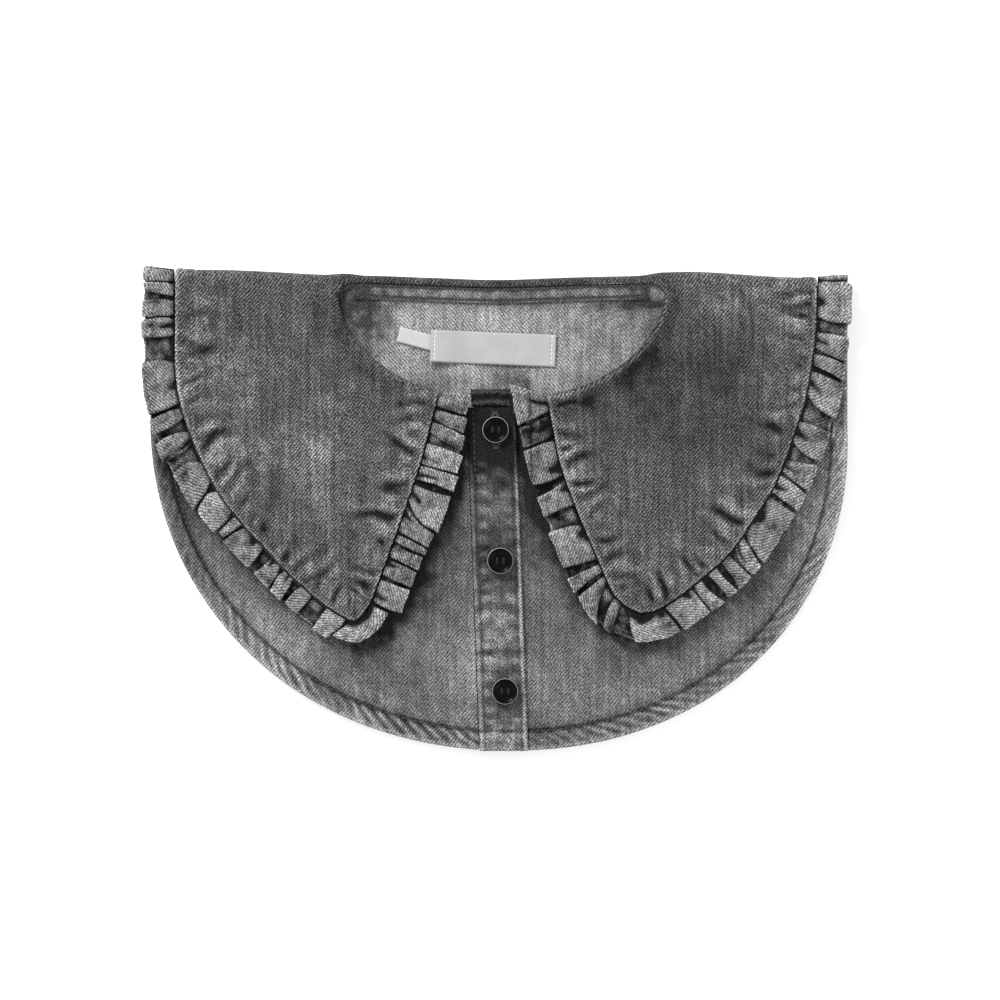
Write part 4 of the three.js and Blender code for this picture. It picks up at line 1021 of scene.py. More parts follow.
# %% Lay the upper band
# Where the band is creased across, and how deeply.
BAND_CREASES = [(-137, 0.7), (-154.5, 1.0), (-163, 0.8), (-185, 0.7), (-104, 0.4), (-91, 0.4)]
CORD_PITCH = 1.5
PUCKER_PITCH = 6.4
BAND_STITCH_IN = 2.6


def make_upper_band():
    half = BAND_WIDTH / 2
    grid, across = band_grid(-half + SEAM / 2, half, BIB_NECK_BOTTOM, 64, 420)
    x, y = grid[..., 0], grid[..., 1]
    from_left, from_right = across + half, half - across
    from_top, from_bottom = BIB_NECK_BOTTOM - y, y + BIB_SIDE + BIB_ROUND_DEPTH
    edge = rounded(np.minimum(np.minimum(from_left - SEAM / 2, from_right), from_bottom), 1.1)
    pucker = np.sin(y * 2 * math.pi / PUCKER_PITCH + 1.5 * ripple(x, y, 18, 42))
    relief = BAND_CROWN * np.sin(math.pi * np.clip(from_left / BAND_WIDTH, 0, 1))
    wear_and_light = 0 * x
    # The stitched left side: a groove, a pale edge and puckers.
    relief = relief - 0.3 * bell(from_left, BAND_STITCH_IN, 0.6) + 0.14 * pucker * bell(from_left, 5.0, 2.4)
    wear_and_light = wear_and_light - 0.5 * bell(from_left, BAND_STITCH_IN, 0.8) + 0.16 * bell(from_left, 1.1, 0.8)
    wear_and_light = wear_and_light + 0.4 * pucker * bell(from_left, 5.2, 2.4)
    # The pressed right edge, worn to a pale cord.
    cord = 0.5 + 0.5 * np.sin((y - 0.9 * from_right) * 2 * math.pi / CORD_PITCH)
    relief = relief + 0.3 * bell(from_right, 0.9, 0.8) + 0.1 * pucker * bell(from_right, 2.6, 1.6)
    wear_and_light = wear_and_light + (0.7 + 0.5 * cord) * bell(from_right, 0.8, 0.75) - 0.35 * bell(from_right, 2.4, 0.8)
    wear_and_light = wear_and_light + 0.2 * pucker * bell(from_right, 4.2, 2.0)
    # Each crease is darker in its fold, partly as dye kept there and partly as painted shade, with a paler
    # rise beside it.
    for crease_y, depth in BAND_CREASES:
        line = crease_y + 1.2 * ripple(x, y, 16, 43)
        relief = relief - 0.3 * depth * bell(y, line, 1.1) + 0.16 * depth * bell(y, line - 3, 2)
        wear_and_light = wear_and_light - 0.4 * depth * bell(y, line, 1.5) + 0.3 * depth * bell(y, line - 4, 2.4)
    # Darker cloth and small dents round each button.
    for button_x, button_y in BUTTON_PLACES:
        near = np.hypot(x - button_x, (y - button_y) * 0.85)
        wear_and_light = wear_and_light - 0.42 * bell(near, 6.5, 5.0)
        relief = relief + 0.12 * bell(near, 8, 3) * ripple(x, y, 6, 44)
    # The hem at the foot, then blotches, and the band darker towards the top and paler towards the foot.
    stitched_hem = bell(from_bottom, STITCH_LINE, 0.8)
    relief = relief - 0.35 * stitched_hem + 0.15 * ripple(x, y, 7, 45) * bell(from_bottom, 4, 3.5)
    wear_and_light = wear_and_light - 0.7 * stitched_hem + 0.3 * bell(from_bottom, 0.8, 0.8)
    wear_and_light = wear_and_light + 0.25 * ripple(x, y, 7, 45) * bell(from_bottom, 4, 4)
    wear_and_light = wear_and_light + 0.22 * ripple(x, y, 11, 46) + 0.16 * ripple(x, y, 5, 47)
    wear_and_light = wear_and_light + 0.5 * smooth(y, -92, -150) - 1.35 * smooth(y, -92, -62) - 0.14
    relief = relief * smooth(from_top, 0, 2)

    def bottom(px, py):
        return under_band_top(px, py) + GAP

    piece = lay_cloth("upper_band_cloth", grid, bottom, UPPER_BAND_CLOTH, relief, edge, band_denim, wear_and_light)
    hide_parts("upper_placket")
    return piece


upper_band = make_upper_band()

# %% [markdown]
# ## The collar
# Each leaf is two layers that are sewn, turned and washed. At the neck the edge rolls under. The whole collar
# is one cloth: leaf, fold over the shoulder, flat piece behind the neck, and the other leaf. It could be made
# as three pieces with hidden joins, but one sheet of lines from the neck edge to the outer seam has no join
# to hide, and the twill runs on over the shoulder as it does on the real one.


# %% Lines of a leaf, from its neck edge to its outer seam
ROLL_WIDTH = 10.0
# The rolled neck edge: way out from the edge and rise, both as shares of ROLL_WIDTH.
NECK_ROLL = [(0.1, -0.28), (0.115, -0.06), (0.19, 0.07), (0.42, 0.12), (0.8, 0.08), (1.4, 0.02), (3.0, 0.0)]
LEAF_STATIONS = [1, 0.992, 0.962, 0.915, 0.86, 0.79, 0.7, 0.59, 0.46, 0.34, 0.2, 0.06]
LEAF_ROWS = 84
EDGE_ROWS = [3.4, 2.6, 1.9, 1.3, 0.85, 0.5, 0.22, 0.0]


def row_shares(length):
    """Shares of a front line: close on the rolled edge, even on the leaf, close again at the seam."""
    first = NECK_ROLL[0][0] * ROLL_WIDTH
    roll = np.array([first, 1.08, 1.16, 1.35, 1.6, 1.95, 2.5, 3.2, 4.2, 5.4, 6.8, 8.4, 10.4, 12.6])
    plain = np.linspace(15, length - 4.2, LEAF_ROWS - len(roll) - len(EDGE_ROWS))
    return np.concatenate([roll, plain, length - np.array(EDGE_ROWS)]) / length


def front_line(column, share):
    leaf = LEAVES[column]
    down = np.interp(share * (len(LEAF_STATIONS) - 0.5), range(len(LEAF_STATIONS)), LEAF_STATIONS)
    start = neck_edge(leaf, share)
    end = outer_seam(column, down)
    out = row_shares(np.linalg.norm(end - start))
    points = mix(start, end, out[:, None])
    points = points + (front_edge(leaf, out) - front_edge(leaf, out, 0.0)) * (1 - share) ** 3
    rise = read_table(NECK_ROLL, out * np.linalg.norm(end - start) / ROLL_WIDTH) * ROLL_WIDTH
    return np.column_stack([points, rise])


print("rows on a leaf line:", len(row_shares(120.0)))


# %% Lines over the shoulder and behind the neck
ROLL_SLANT = 0.12
NECK_CORNER_START = 1.0


def back_line(start_x, end):
    share = np.linspace(0, 1, 15)[:-1]
    roll_end = np.array([start_x + (end[0] - start_x) * ROLL_SLANT, min(end[1], FOLD_LENGTH)])
    roll = mix(np.array([start_x, -NECK_SEAM_DROP]), roll_end, share[:, None])
    length = np.linalg.norm(end - roll_end)
    inner = np.linspace(0, 1 - 4.2 / length, LEAF_ROWS - len(share) - len(EDGE_ROWS))
    rest = np.concatenate([inner, 1 - np.array(EDGE_ROWS) / length])
    points = np.concatenate([roll, mix(roll_end, end, rest[:, None])])
    rise = -np.clip(1 - np.arange(LEAF_ROWS) / 2.5, 0, 1)
    return np.column_stack([points, rise])


def collar_lines(column):
    leaf = LEAVES[column]
    last = (len(LEAF_STATIONS) - 1) / (len(LEAF_STATIONS) - 0.5)
    near_tip = np.linspace(0, 0.3, 66)[:-1]
    lines = [front_line(column, share) for share in np.concatenate([near_tip, np.linspace(0.3, last, 70)])]
    corner = NECK_HALF_WIDTH + leaf["side"] * NECK_CENTRE - NECK_CORNER_START
    over = []
    for share in np.linspace(0, 1, 15):
        start_x = leaf["side"] * (corner - NECK_CORNER_RUN * mix(0.25, 1, share))
        over.append(back_line(start_x, np.array([leaf["side"] * leaf["span"], share * FOLD_LENGTH])))
    lines += [mix(lines[-1], over[0], share) for share in (0.2, 0.4, 0.6, 0.8)]
    lines += over
    first_x = leaf["side"] * (corner - NECK_CORNER_RUN)
    for share in np.linspace(0, 1, 34)[1:]:
        lines.append(back_line(mix(first_x, 0, share), back_seam(leaf, share)))
    return lines


print("lines in the left half of the collar:", len(collar_lines("left")))

# %% [markdown]
# ## Puckers beside the seam
# At the outer seam the gathered frill pulls the leaf into short creases that point inwards. No two are alike:
# they differ in length, depth, slant and distance from the next one. Sculpting them by hand would do it too,
# but drawing each from a seeded row of random numbers gives the same hundred creases in every run.


# %% Draw the puckers
PUCKER_REACH = (8, 24)
PUCKER_WIDTH = (0.9, 2.1)
PUCKER_SPACING = (5, 10.5)


def seam_puckers(away, along, total, seed):
    """Relief, wear and painted shade of the short creases that a gathered seam pulls into the leaf."""
    pick = np.random.default_rng(seed)
    relief, wear_and_light = 0 * away, 0 * away
    place = 5.0
    while place < total - 6:
        reach = pick.uniform(*PUCKER_REACH)
        start = pick.uniform(0.8, 4.0)
        depth = pick.uniform(0.3, 1.0)
        width = pick.uniform(*PUCKER_WIDTH)
        shift = along - place - pick.uniform(-0.45, 0.45) * away + 0.9 * np.sin(away / 3.2 + place)
        span = smooth(away, start - 0.8, start + 2.5) * (1 - smooth(away, 0.35 * reach, reach))
        crease = bell(shift, 0, width * (0.75 + 0.5 * away / reach)) * span
        before = bell(shift, -2.2 * width, 1.5 * width)
        after = 0.8 * bell(shift, 2.2 * width, 1.5 * width)
        shoulder = (before + after) * span
        # Each crease is darker, partly as dye kept in it and partly as painted shade, and its shoulders paler
        # as worn.
        relief = relief - 0.6 * depth * crease + 0.3 * depth * shoulder
        wear_and_light = wear_and_light - 1.7 * depth * crease + 0.42 * depth * shoulder
        place += pick.uniform(*PUCKER_SPACING)
    return relief, wear_and_light


print("about", round(LEAF_SEAMS["left"].total / np.mean(PUCKER_SPACING)), "puckers on the left leaf")


# %% Lay the collar
def make_collar():
    left = collar_lines("left")
    right = collar_lines("right")[:-1]
    lines = np.array(left + right[::-1])
    x, run, rise = lines[..., 0], lines[..., 1], lines[..., 2]
    y = np.minimum(run, 0)
    middle = fold_over(x, run, collar_over(x, y) + rise, COLLAR_UNDER - rise)
    relief, wear_and_light, away = 0 * x, 0 * x, 0 * x
    for column, rows in (("left", slice(0, len(left))), ("right", slice(len(left), None))):
        path = LEAF_SEAMS[column]
        part = lines[rows, :, :2]
        distance, along = path.nearest(part.reshape(-1, 2))
        away[rows] = distance.reshape(part.shape[:2])
        seed = 51 if column == "left" else 52
        dents, wear_and_shade = seam_puckers(away[rows], along.reshape(part.shape[:2]), path.total, seed)
        relief[rows], wear_and_light[rows] = dents, wear_and_shade
    front = smooth(-run, -2, 6)
    seam_length = np.linalg.norm(lines[:, -1:, :2] - lines[..., :2], axis=-1)
    edge_away = np.where(run > 0, seam_length, away)
    soft = 0.3 * ripple(x, run, 34, 53) + 0.12 * ripple(x, run, 13, 54)
    relief = relief * front + np.clip(soft, -0.4, 0.6) * smooth(edge_away, 3, 12) * front
    # Dark blots near the seam, a pale outer edge, and the darker and paler fields of each leaf.
    blots = np.maximum(ripple(x, run, 11, 55) - 0.25, 0)
    wear_and_light = wear_and_light * front + 0.34 * soft - 0.5 * blots * bell(edge_away, 12, 11)
    wear_and_light = wear_and_light + 0.06 * bell(edge_away, 5, 7) + 0.5 * bell(edge_away, 0.4, 0.8)
    wear_and_light = wear_and_light - 0.12 * smooth(y, -95, -128) * (x < 0) - 0.6 * bell(x, 74, 38) * bell(y, -46, 30)
    wear_and_light = wear_and_light + 0.25 * bell(x, 100, 34) * bell(y, -8, 16)
    # The neck edge: a dark roll with a pale line on its crest.
    neck_away = np.linalg.norm(lines[..., :2] - lines[:, :1, :2], axis=-1)
    wear_and_light = wear_and_light - 0.3 * bell(neck_away, 7, 5) * ripple(x, run, 14, 56) - 0.3 * bell(neck_away, 5, 5)
    wear_and_light = wear_and_light + 0.6 * bell(neck_away, 1.1, 0.4) * mix(0.3, 1, smooth(x, -20, 40))
    wear_and_light = wear_and_light - 0.18 * smooth(y, -50, -15) * smooth(np.abs(x), 118, 100)
    normal = grid_normals(middle)
    edge = rounded(edge_away, 1.3)
    rim = np.ones(x.shape)
    rim[:, 0] = 0.5
    half = COLLAR_CLOTH / 2 * edge * rim
    top = middle + normal * (half + relief * np.minimum(edge, 1))[..., None]
    bottom = middle - normal * half[..., None]
    piece = closed_sheet("collar_cloth", top, bottom, collar_denim, lines[..., :2], wear_and_light, 70)
    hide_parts("collar")
    return piece


collar = make_collar()

# %% [markdown]
# ## The gathered frill
# A frill is a strip much longer than the seam that it is sewn to. Washed and pressed, it lies in uneven
# pleats: a pale face shows, its sides fold back under it, and a dark tuck lies between two faces. A simulated
# gather would make pleats of its own. Here one section line runs over each face, down, under and up again,
# and drawn row by row from the seam outwards, that line sweeps the whole frill with the pleats of the real
# one.
#
# Each row of the tables is one pleat, judged in millimetres along the seam: where its face starts and
# ends at the seam, then at the outer edge, how far those two edges bow on their way, how far the pleat
# reaches out, how high it stands, and how much paler or darker its face is. A lift of 1.5 marks the pleat
# that rolls at the tip.

# %% The pleats
BACK_PLEATS = 21
BACK_PLEAT_LIFT = 0.22
# start, end, outer start, outer end, bow of start, bow of end, reach, lift, shade
LEFT_PLEATS = [
    (0, 6, -1.4, 6.5, 0, 0, 0.97, 1.0, 0.1),
    (7.4, 11.3, 8.1, 14.2, 0, 0, 1.05, 0.6, -0.2),
    (12.7, 17.5, 15.7, 21.3, 0, 0, 1.13, 0.7, -0.15),
    (22.6, 30.8, 23.8, 30.4, -1.0, 0, 1.2, 1.2, 0.15),
    (32.3, 38.2, 32, 38, 0, -0.4, 1.25, 1.0, 0),
    (39.9, 47.5, 40.3, 55.6, 0.4, 2.2, 1.22, 1.3, 0.05),
    (49.3, 60.8, 57.4, 62.9, 2.2, 0, 1.08, 0.9, 0),
    (62.5, 65.3, 64.6, 66.2, 0, 0, 1.05, 0.6, 0),
    (67.3, 71.8, 68, 73.2, 0.5, 0, 1.02, 0.8, 0.05),
    (73.6, 80.8, 74.8, 81, 0, 0, 1.0, 1.0, 0),
    (82.4, 91.8, 82.6, 91.5, 0, 0, 1.0, 1.1, 0.05),
    (94, 105, 93.4, 109, 0, 0, 0.64, 1.5, 0.2),
    (106.8, 116, 110.8, 116, 0, 0, 0.82, 1.0, 0.05),
    (124.6, 130.6, 124.6, 130.2, 0, 0, 0.73, 1.1, 0.1),
    (134.4, 140, 133, 137.8, 0.6, 0.5, 0.77, 1.1, 0.15),
    (141.6, 148, 139.6, 147.4, 0, -0.9, 0.77, 0.45, -0.1),
    (152.4, 164, 150.8, 165.6, 0, 0.3, 0.79, 1.2, 0.05),
    (165.8, 170.2, 167.4, 169.1, 0, 0, 0.7, 0.2, 0.1),
    (172.3, 184, 171, 180.6, -0.7, 1.6, 0.85, 1.3, 0.1),
    (188, 197.4, 182.4, 197, -0.6, 1.8, 0.93, 1.1, -0.1),
    (205.2, 210.8, 203, 210.6, -0.5, 0.8, 1.1, 1.1, -0.1),
    (217.3, 221.4, 214.8, 219.6, -0.5, 0.7, 1.05, 0.9, 0.05),
    (223.4, 239.8, 222, 240, 0, 0.9, 1.0, 1.1, -0.05),
    (250.5, 257.2, 250.4, 256.8, 0, 1.4, 1.0, 1.1, 0),
    (259, 265.4, 258.6, 265, -0.4, 0, 0.98, 0.8, 0),
    (267, 272, 269.4, 272.2, 0, 0, 0.86, 1.0, 0.1),
    (273.6, 276.8, 273.8, 277, 0, 0, 0.95, 0.5, 0),
    (278.6, 285, 278.6, 285, 0, 0, 0.97, 0.7, 0),
]
RIGHT_PLEATS = [
    (0, 6.8, -7, 10.5, 0, 0, 1.06, 1.1, 0.15),
    (9, 16.8, 12.3, 20, 0, 0, 1.0, 0.15, -0.6),
    (19.3, 34, 21.9, 34.2, -0.4, 0, 1.0, 1.2, 0),
    (35.8, 47.5, 39.5, 47.7, 1.7, 0, 1.0, 1.0, 0.05),
    (57.2, 71.8, 54.6, 70, -1.0, 0.3, 1.08, 1.2, 0.05),
    (74.8, 78.4, 75, 81.4, 0.7, -0.5, 1.08, 1.0, 0),
    (80.2, 82.8, 83.2, 92.6, 0, 0, 1.02, 1.2, 0.1),
    (90.5, 93.6, 94.6, 96.2, 0, 0, 0.95, 0.3, -0.1),
    (98, 111.3, 102, 113.6, 0, 0, 0.9, 1.5, 0.2),
    (113, 126.4, 115.2, 126.2, 0, -0.4, 0.95, 1.1, 0.05),
    (128.6, 131.6, 127.6, 133.4, 0, -0.8, 1.0, 1.1, 0.1),
    (135.6, 140, 136.2, 140, 0.8, -0.4, 1.0, 0.9, 0.1),
    (142.6, 147.6, 141.3, 146.8, 0, -0.9, 1.0, 0.95, 0),
    (151.4, 157, 148.4, 152.2, -2.0, -0.9, 1.0, 1.0, 0.1),
    (158.8, 176.8, 153.8, 176.4, -1.0, 0, 1.0, 0.9, -0.1),
    (179, 186.8, 178.2, 184.2, 0, 0, 1.0, 1.1, 0.1),
    (188.8, 194, 185.8, 195.9, 0, 0, 1.0, 0.8, 0),
    (202, 211.8, 197.7, 210.3, -0.8, 0.3, 1.03, 1.1, 0),
    (222.5, 232.8, 216.4, 228.9, -1.4, 0.3, 1.05, 1.2, 0.05),
    (235.4, 240.3, 231, 237.3, 0.4, 0.3, 1.02, 1.0, 0),
    (243.2, 250.6, 239.2, 249.2, 0.4, 0, 1.0, 1.0, 0),
    (256.4, 271, 254.6, 270.4, -0.6, 0.5, 1.05, 1.2, 0),
    (272.8, 283, 272.5, 283, 0, 0, 0.95, 0.5, -0.1),
]


def back_pleats(total, count=BACK_PLEATS):
    """Even, low pleats for the frill that lies hidden under the bib."""
    pick = np.random.default_rng(83)
    pitch = total / (count - 0.36)
    rows = []
    for i in range(count):
        start, end = i * pitch, (i + pick.uniform(0.58, 0.68)) * pitch
        lean = pitch * pick.uniform(-0.06, 0.06)
        spread = 0.06 * pitch
        outer = (start + lean - spread, end + lean + spread)
        rows.append((start, end, *outer, 0, 0, pick.uniform(0.97, 1.02), BACK_PLEAT_LIFT, 0))
    return rows


print("pleats:", len(LEFT_PLEATS), "left,", len(RIGHT_PLEATS), "right,", BACK_PLEATS, "behind the neck")

# %% [markdown]
# ## One row of the frill
# The rows below hold the section line. A face is a shallow arch with pale folds at its rims, and it may be
# tilted, dented or sunk on one side. Between two faces the line drops to the tuck, which is dark because no
# light reaches it and no wear either. Near the seam the faces are pinched together, so the room for the folds
# is kept first.


# %% Where each face starts and ends in one row
LEAST_GAP = 1.35


def pleat_edges(pleats, quirks, row):
    """Room is kept for the folds between the faces."""
    start, end, outer_start, outer_end, start_bow, end_bow = pleats.T[:6]
    arch = math.sin(math.pi * row**0.8)
    bows = np.array([quirk["bow"] for quirk in quirks])
    pinches = np.array([quirk["pinch"] for quirk in quirks]) * (1 - smooth(row, 0.0, 0.35))
    left = mix(start, outer_start, row) + (start_bow + bows[:, 0]) * arch + pinches[:, 0]
    right = mix(end, outer_end, row) + (end_bow + bows[:, 1]) * arch - pinches[:, 1]
    left[0] = mix(start[0], outer_start[0], row)
    for i in range(len(pleats) - 1):
        short = max(0, LEAST_GAP - (left[i + 1] - right[i])) / 2
        right[i] -= short
        left[i + 1] += short
    return left, right


print("least room between two faces:", LEAST_GAP, "mm")


# %% The section of the frill in one row
SEAM_RISE = 1.8
PLEAT_RISE = 1.6
TUCK = 1.4
TUCK_ROOM = 2.2
TUCK_REACH = 0.92
FACE_POINTS = 17
SIDE_POINTS = 5
TUCK_POINTS = 5
ROLL_LIFT = 1.5


def frill_row(pleats, quirks, row):
    """One row of the section: along, height, reach, and wear with painted shade, for every point of the line.
    """
    left, right = pleat_edges(pleats, quirks, row)
    tuck = np.clip((right - left - TUCK_ROOM) / 2, 0, TUCK) * row
    rise = np.minimum(1.0, 1.25 * row ** 0.8)
    along, height, reach, wear_and_light = [], [], [], []

    def add(xs, zs, out, wear_and_shade):
        along.extend(xs)
        height.extend(zs * np.ones(len(xs)))
        reach.extend(out * np.ones(len(xs)))
        wear_and_light.extend(wear_and_shade * np.ones(len(xs)))

    for i, (pleat, quirk) in enumerate(zip(pleats, quirks)):
        out, lift, shade = pleat[6:]
        tilt = quirk["tilt"] * row
        clear = smooth(row, 0.2, 0.45) if lift >= ROLL_LIFT else 1.0
        top = mix(0.7, SEAM_RISE + lift * PLEAT_RISE * rise, clear)
        # Up from the tuck on the left, with painted shade and less wear deepening towards the tuck.
        if i > 0:
            share = np.linspace(0, 1, SIDE_POINTS + 1)[:-1]
            bulge = 0.3 * np.sin(math.pi * share) * row
            side_shade_and_wear = mix(-1.05, -0.3, share**2)
            add(left[i] + tuck[i] * (1 - share) - bulge, (top - tilt) * share, out, side_shade_and_wear)
        # Over the face: crown, dent, ridge, sunk side and pale rims. The dent, the sunk side, a low pleat and
        # the hollow of a rolled pleat are painted darker, as shade.
        share = np.linspace(0, 1, FACE_POINTS)
        crown = 0.3 * row * np.sin(math.pi * share) + tilt * (2 * share - 1)
        wedge = 0.06 + 0.15 * max(0, 1 - row / quirk["depth"])
        dent = bell(share, quirk["place"] + quirk["lean"] * row, wedge)
        dent = quirk["dent"] * dent * (1 - smooth(row, 0.55 * quirk["depth"], 1.15 * quirk["depth"]))
        ridge = bell(share, quirk["place"] + 0.3 + quirk["lean"] * row, 0.15) * bell(row, 0.3, 0.3)
        sunk = smooth(share if quirk["sink"] > 0 else 1 - share, 0.45, 1.0)
        sunk = sunk * abs(quirk["sink"]) * bell(row, quirk["low"], 0.4)
        rims = np.maximum(bell(share, 0, 0.05), bell(share, 1, 0.05)) * smooth(row, 0.1, 0.5)
        wear_and_shade = 0.1 + 0.6 * rims - 1.75 * dent + 0.45 * quirk["swell"] * ridge - 0.95 * sunk + quirk["tone"]
        dark_spot = 0.9 * quirk["dark_spot"] * bell(share, quirk["aside"], 0.12) * bell(row, quirk["below"], 0.16)
        wear_and_shade = wear_and_shade - dark_spot
        wear_and_shade = wear_and_shade + shade - 0.22 * (1 - lift) - 1.2 * (1 - clear)
        hollow = 1.9 * dent + 0.8 * sunk * min(lift, 1.0)
        add(mix(left[i], right[i], share), top + crown - hollow + quirk["swell"] * ridge, out, wear_and_shade)
        if i == len(pleats) - 1:
            break
        # Down on the right, with painted shade and less wear deepening towards the tuck, and through the tuck
        # to the next face.
        share = np.linspace(0, 1, SIDE_POINTS + 1)[1:]
        bulge = 0.3 * np.sin(math.pi * share) * row
        side_shade_and_wear = mix(-0.3, -1.05, np.sqrt(share))
        add(right[i] - tuck[i] * share + bulge, (top + tilt) * (1 - share), out, side_shade_and_wear)
        share = np.linspace(0, 1, TUCK_POINTS + 2)[1:-1]
        start, end = right[i] - tuck[i], left[i + 1] + tuck[i + 1]
        wide = smooth(pleats[i + 1, 0] - pleat[1], 3.0, 6.0)
        puff = wide * quirk["puff"] * bell(share, quirk["side"], 0.28) * bell(row, 0.22, 0.17)
        floor = 0.3 * np.sin(math.pi * share) + 1.1 * puff
        between = TUCK_REACH * (out + pleats[i + 1][6]) / 2
        shade = -1.0 + wide * (0.14 + 0.16 * row) * np.sin(math.pi * share) + 0.95 * puff
        shade = shade + 0.8 * wide * bell(row, 0.97, 0.04)
        add(mix(start, end, share), floor, between, shade)
    return np.array([along, height, reach, wear_and_light])


def soften_line(values, times):
    for _ in range(times):
        values[1:-1] = (values[:-2] + 2 * values[1:-1] + values[2:]) / 4
    return values


# %% What sets one pleat apart from the next
def pleat_quirks(pleats, seed):
    """Bowed edges, a pinch at the seam, a tilt, dents, a sunk side, dark spots and a shade for each pleat."""
    pick = np.random.default_rng(seed)
    quirks = []
    for pleat in pleats:
        width = pleat[1] - pleat[0]
        wide = min(1.0, width / 6.5)
        bow = pick.uniform(-0.5, 0.5)
        quirks.append(dict(
            bow=(bow + pick.uniform(-0.3, 0.3), bow + pick.uniform(-0.3, 0.3)),
            pinch=(pick.uniform(0.0, 0.9) * wide, pick.uniform(0.0, 0.9) * wide),
            tilt=pick.uniform(-0.4, 0.4),
            dent=pick.uniform(0.6, 1.1) * (width > 5) * (pick.random() < 0.85),
            place=pick.uniform(0.2, 0.8),
            lean=pick.uniform(-0.35, 0.35),
            depth=pick.uniform(0.28, 0.6),
            swell=pick.uniform(0.1, 0.45) * wide,
            sink=pick.choice([-1, 1]) * pick.uniform(0.3, 1.0) * (pick.random() < 0.7),
            low=pick.uniform(0.2, 0.9),
            puff=pick.uniform(0.3, 1.0),
            side=pick.uniform(0.25, 0.75),
            tone=pick.uniform(-0.16, 0.12),
            dark_spot=pick.uniform(0.3, 1.0) * (width > 4),
            aside=pick.uniform(0.15, 0.85),
            below=pick.uniform(0.3, 0.95),
        ))
    return quirks


print("each pleat has", len(pleat_quirks(np.array(LEFT_PLEATS), 61)[0]), "quirks of its own")


# %% Sweep one frill
FRILL_CLOTH = 1.2
FRILL_SEAM = 0.8
UNDER_SQUEEZE = 0.58
FRILL_THICKNESS = 1.0
FRILL_ROWS = np.concatenate([[0, 0.03], np.linspace(0.07, 0.9, 20), [0.925, 0.95, 0.97, 0.987, 1.0]])


def make_frill(name, node, path, pleats, seed):
    pleats = np.array(pleats, float)
    pleats[-1, [1, 3]] = path.total
    quirks = pleat_quirks(pleats, seed)
    middle, wear_and_light, outs, strips = [], [], [], []
    for row in FRILL_ROWS:
        along, height, reach, wear_and_shade = frill_row(pleats, quirks, row)
        along, height = soften_line(along, 2), soften_line(height, 2)
        reach, wear_and_shade = soften_line(reach, 3), soften_line(wear_and_shade, 1)
        out = FRILL_SEAM + row * FRILL_WIDTH * reach
        place = path.at(along) + path.outward(along) * out[:, None]
        sway = np.stack([ripple(*place.T, 6, seed + 3), ripple(*place.T, 6, seed + 4)], axis=-1)
        place = place + 0.25 * row * sway
        x, run = place[:, 0], place[:, 1]
        flutter = 0.2 * ripple(x, run, 7, seed + 1) * row
        rest = highest_near(front_top, x, np.minimum(run, 0)) + GAP + FRILL_CLOTH / 2
        full = height + flutter * smooth(height, 0.5, 1.5)
        under = BACK_FRILL_HEIGHT - FRILL_CLOTH / 2 - full * UNDER_SQUEEZE
        middle.append(fold_over(x, run, rest + full, under))
        mottled = 0.2 * ripple(x, run, 5, seed + 2) + 0.14 * ripple(x, run, 2.6, seed + 5)
        # Darker along the seam: painted shade under the leaf's edge.
        mottled = mottled - 0.5 * bell(row, 0, 0.07)
        wear_and_light.append(wear_and_shade + mottled + 0.4 * bell(row, 0.985, 0.03) * smooth(height, 0.5, 1.6))
        outs.append(out)
        strips.append(np.concatenate([[0], np.cumsum(np.hypot(np.diff(along), np.diff(height)))]))
    middle, wear_and_light, outs = np.array(middle), np.array(wear_and_light), np.array(outs)
    # One strip measure for all rows keeps the twill from shearing.
    strip = np.mean(strips, axis=0) * np.ones((len(FRILL_ROWS), 1))
    uv = np.stack([outs, strip], axis=-1)
    normal = grid_normals(middle)
    half = FRILL_THICKNESS / 2 * rounded((1 - FRILL_ROWS) * FRILL_WIDTH, 0.8)[:, None, None]
    piece = closed_sheet(name, middle + normal * half, middle - normal * half, frill_denim, uv, wear_and_light, 75)
    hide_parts(node)
    return piece, strips[-1][-1]


print("rows in a frill:", len(FRILL_ROWS))


# %% Sweep the three frills
def back_seam_path():
    start = FOLD_LENGTH + FRILL_PAST_FOLD + SEAM
    halves = {}
    for column, leaf in LEAVES.items():
        points = back_seam(leaf, np.linspace(0, 1, SEAM_STEPS))
        halves[column] = points[points[:, 1] > start + 1]
    left, right = halves["left"], halves["right"][::-1]
    ends = {column: [[leaf["side"] * leaf["span"], start]] for column, leaf in LEAVES.items()}
    return SeamPath(np.concatenate([ends["left"], left, right[1:], ends["right"]]), 1)


FRILL_STRIPS = {}
left_path, right_path, back_path = LEAF_SEAMS["left"], LEAF_SEAMS["right"], back_seam_path()
hidden_pleats = back_pleats(back_path.total)
frill_left, FRILL_STRIPS["left"] = make_frill("frill_left", "ruffle_left", left_path, LEFT_PLEATS, 61)
frill_right, FRILL_STRIPS["right"] = make_frill("frill_right", "ruffle_right", right_path, RIGHT_PLEATS, 71)
frill_back, FRILL_STRIPS["back"] = make_frill("frill_back", "ruffle_back", back_path, hidden_pleats, 81)
print("strips", {name: round(float(length)) for name, length in FRILL_STRIPS.items()}, "mm long")

# %% [markdown]
# ## Tape, label and tab
# Inside the back neck a tape covers the seam, and a woven label and a small folded tab are tacked below it.
# Such a ribbon could be a plain strip, but its fine ribs, a little soil and the dimples of its tacks are what
# make it read as woven. Both are left blank.


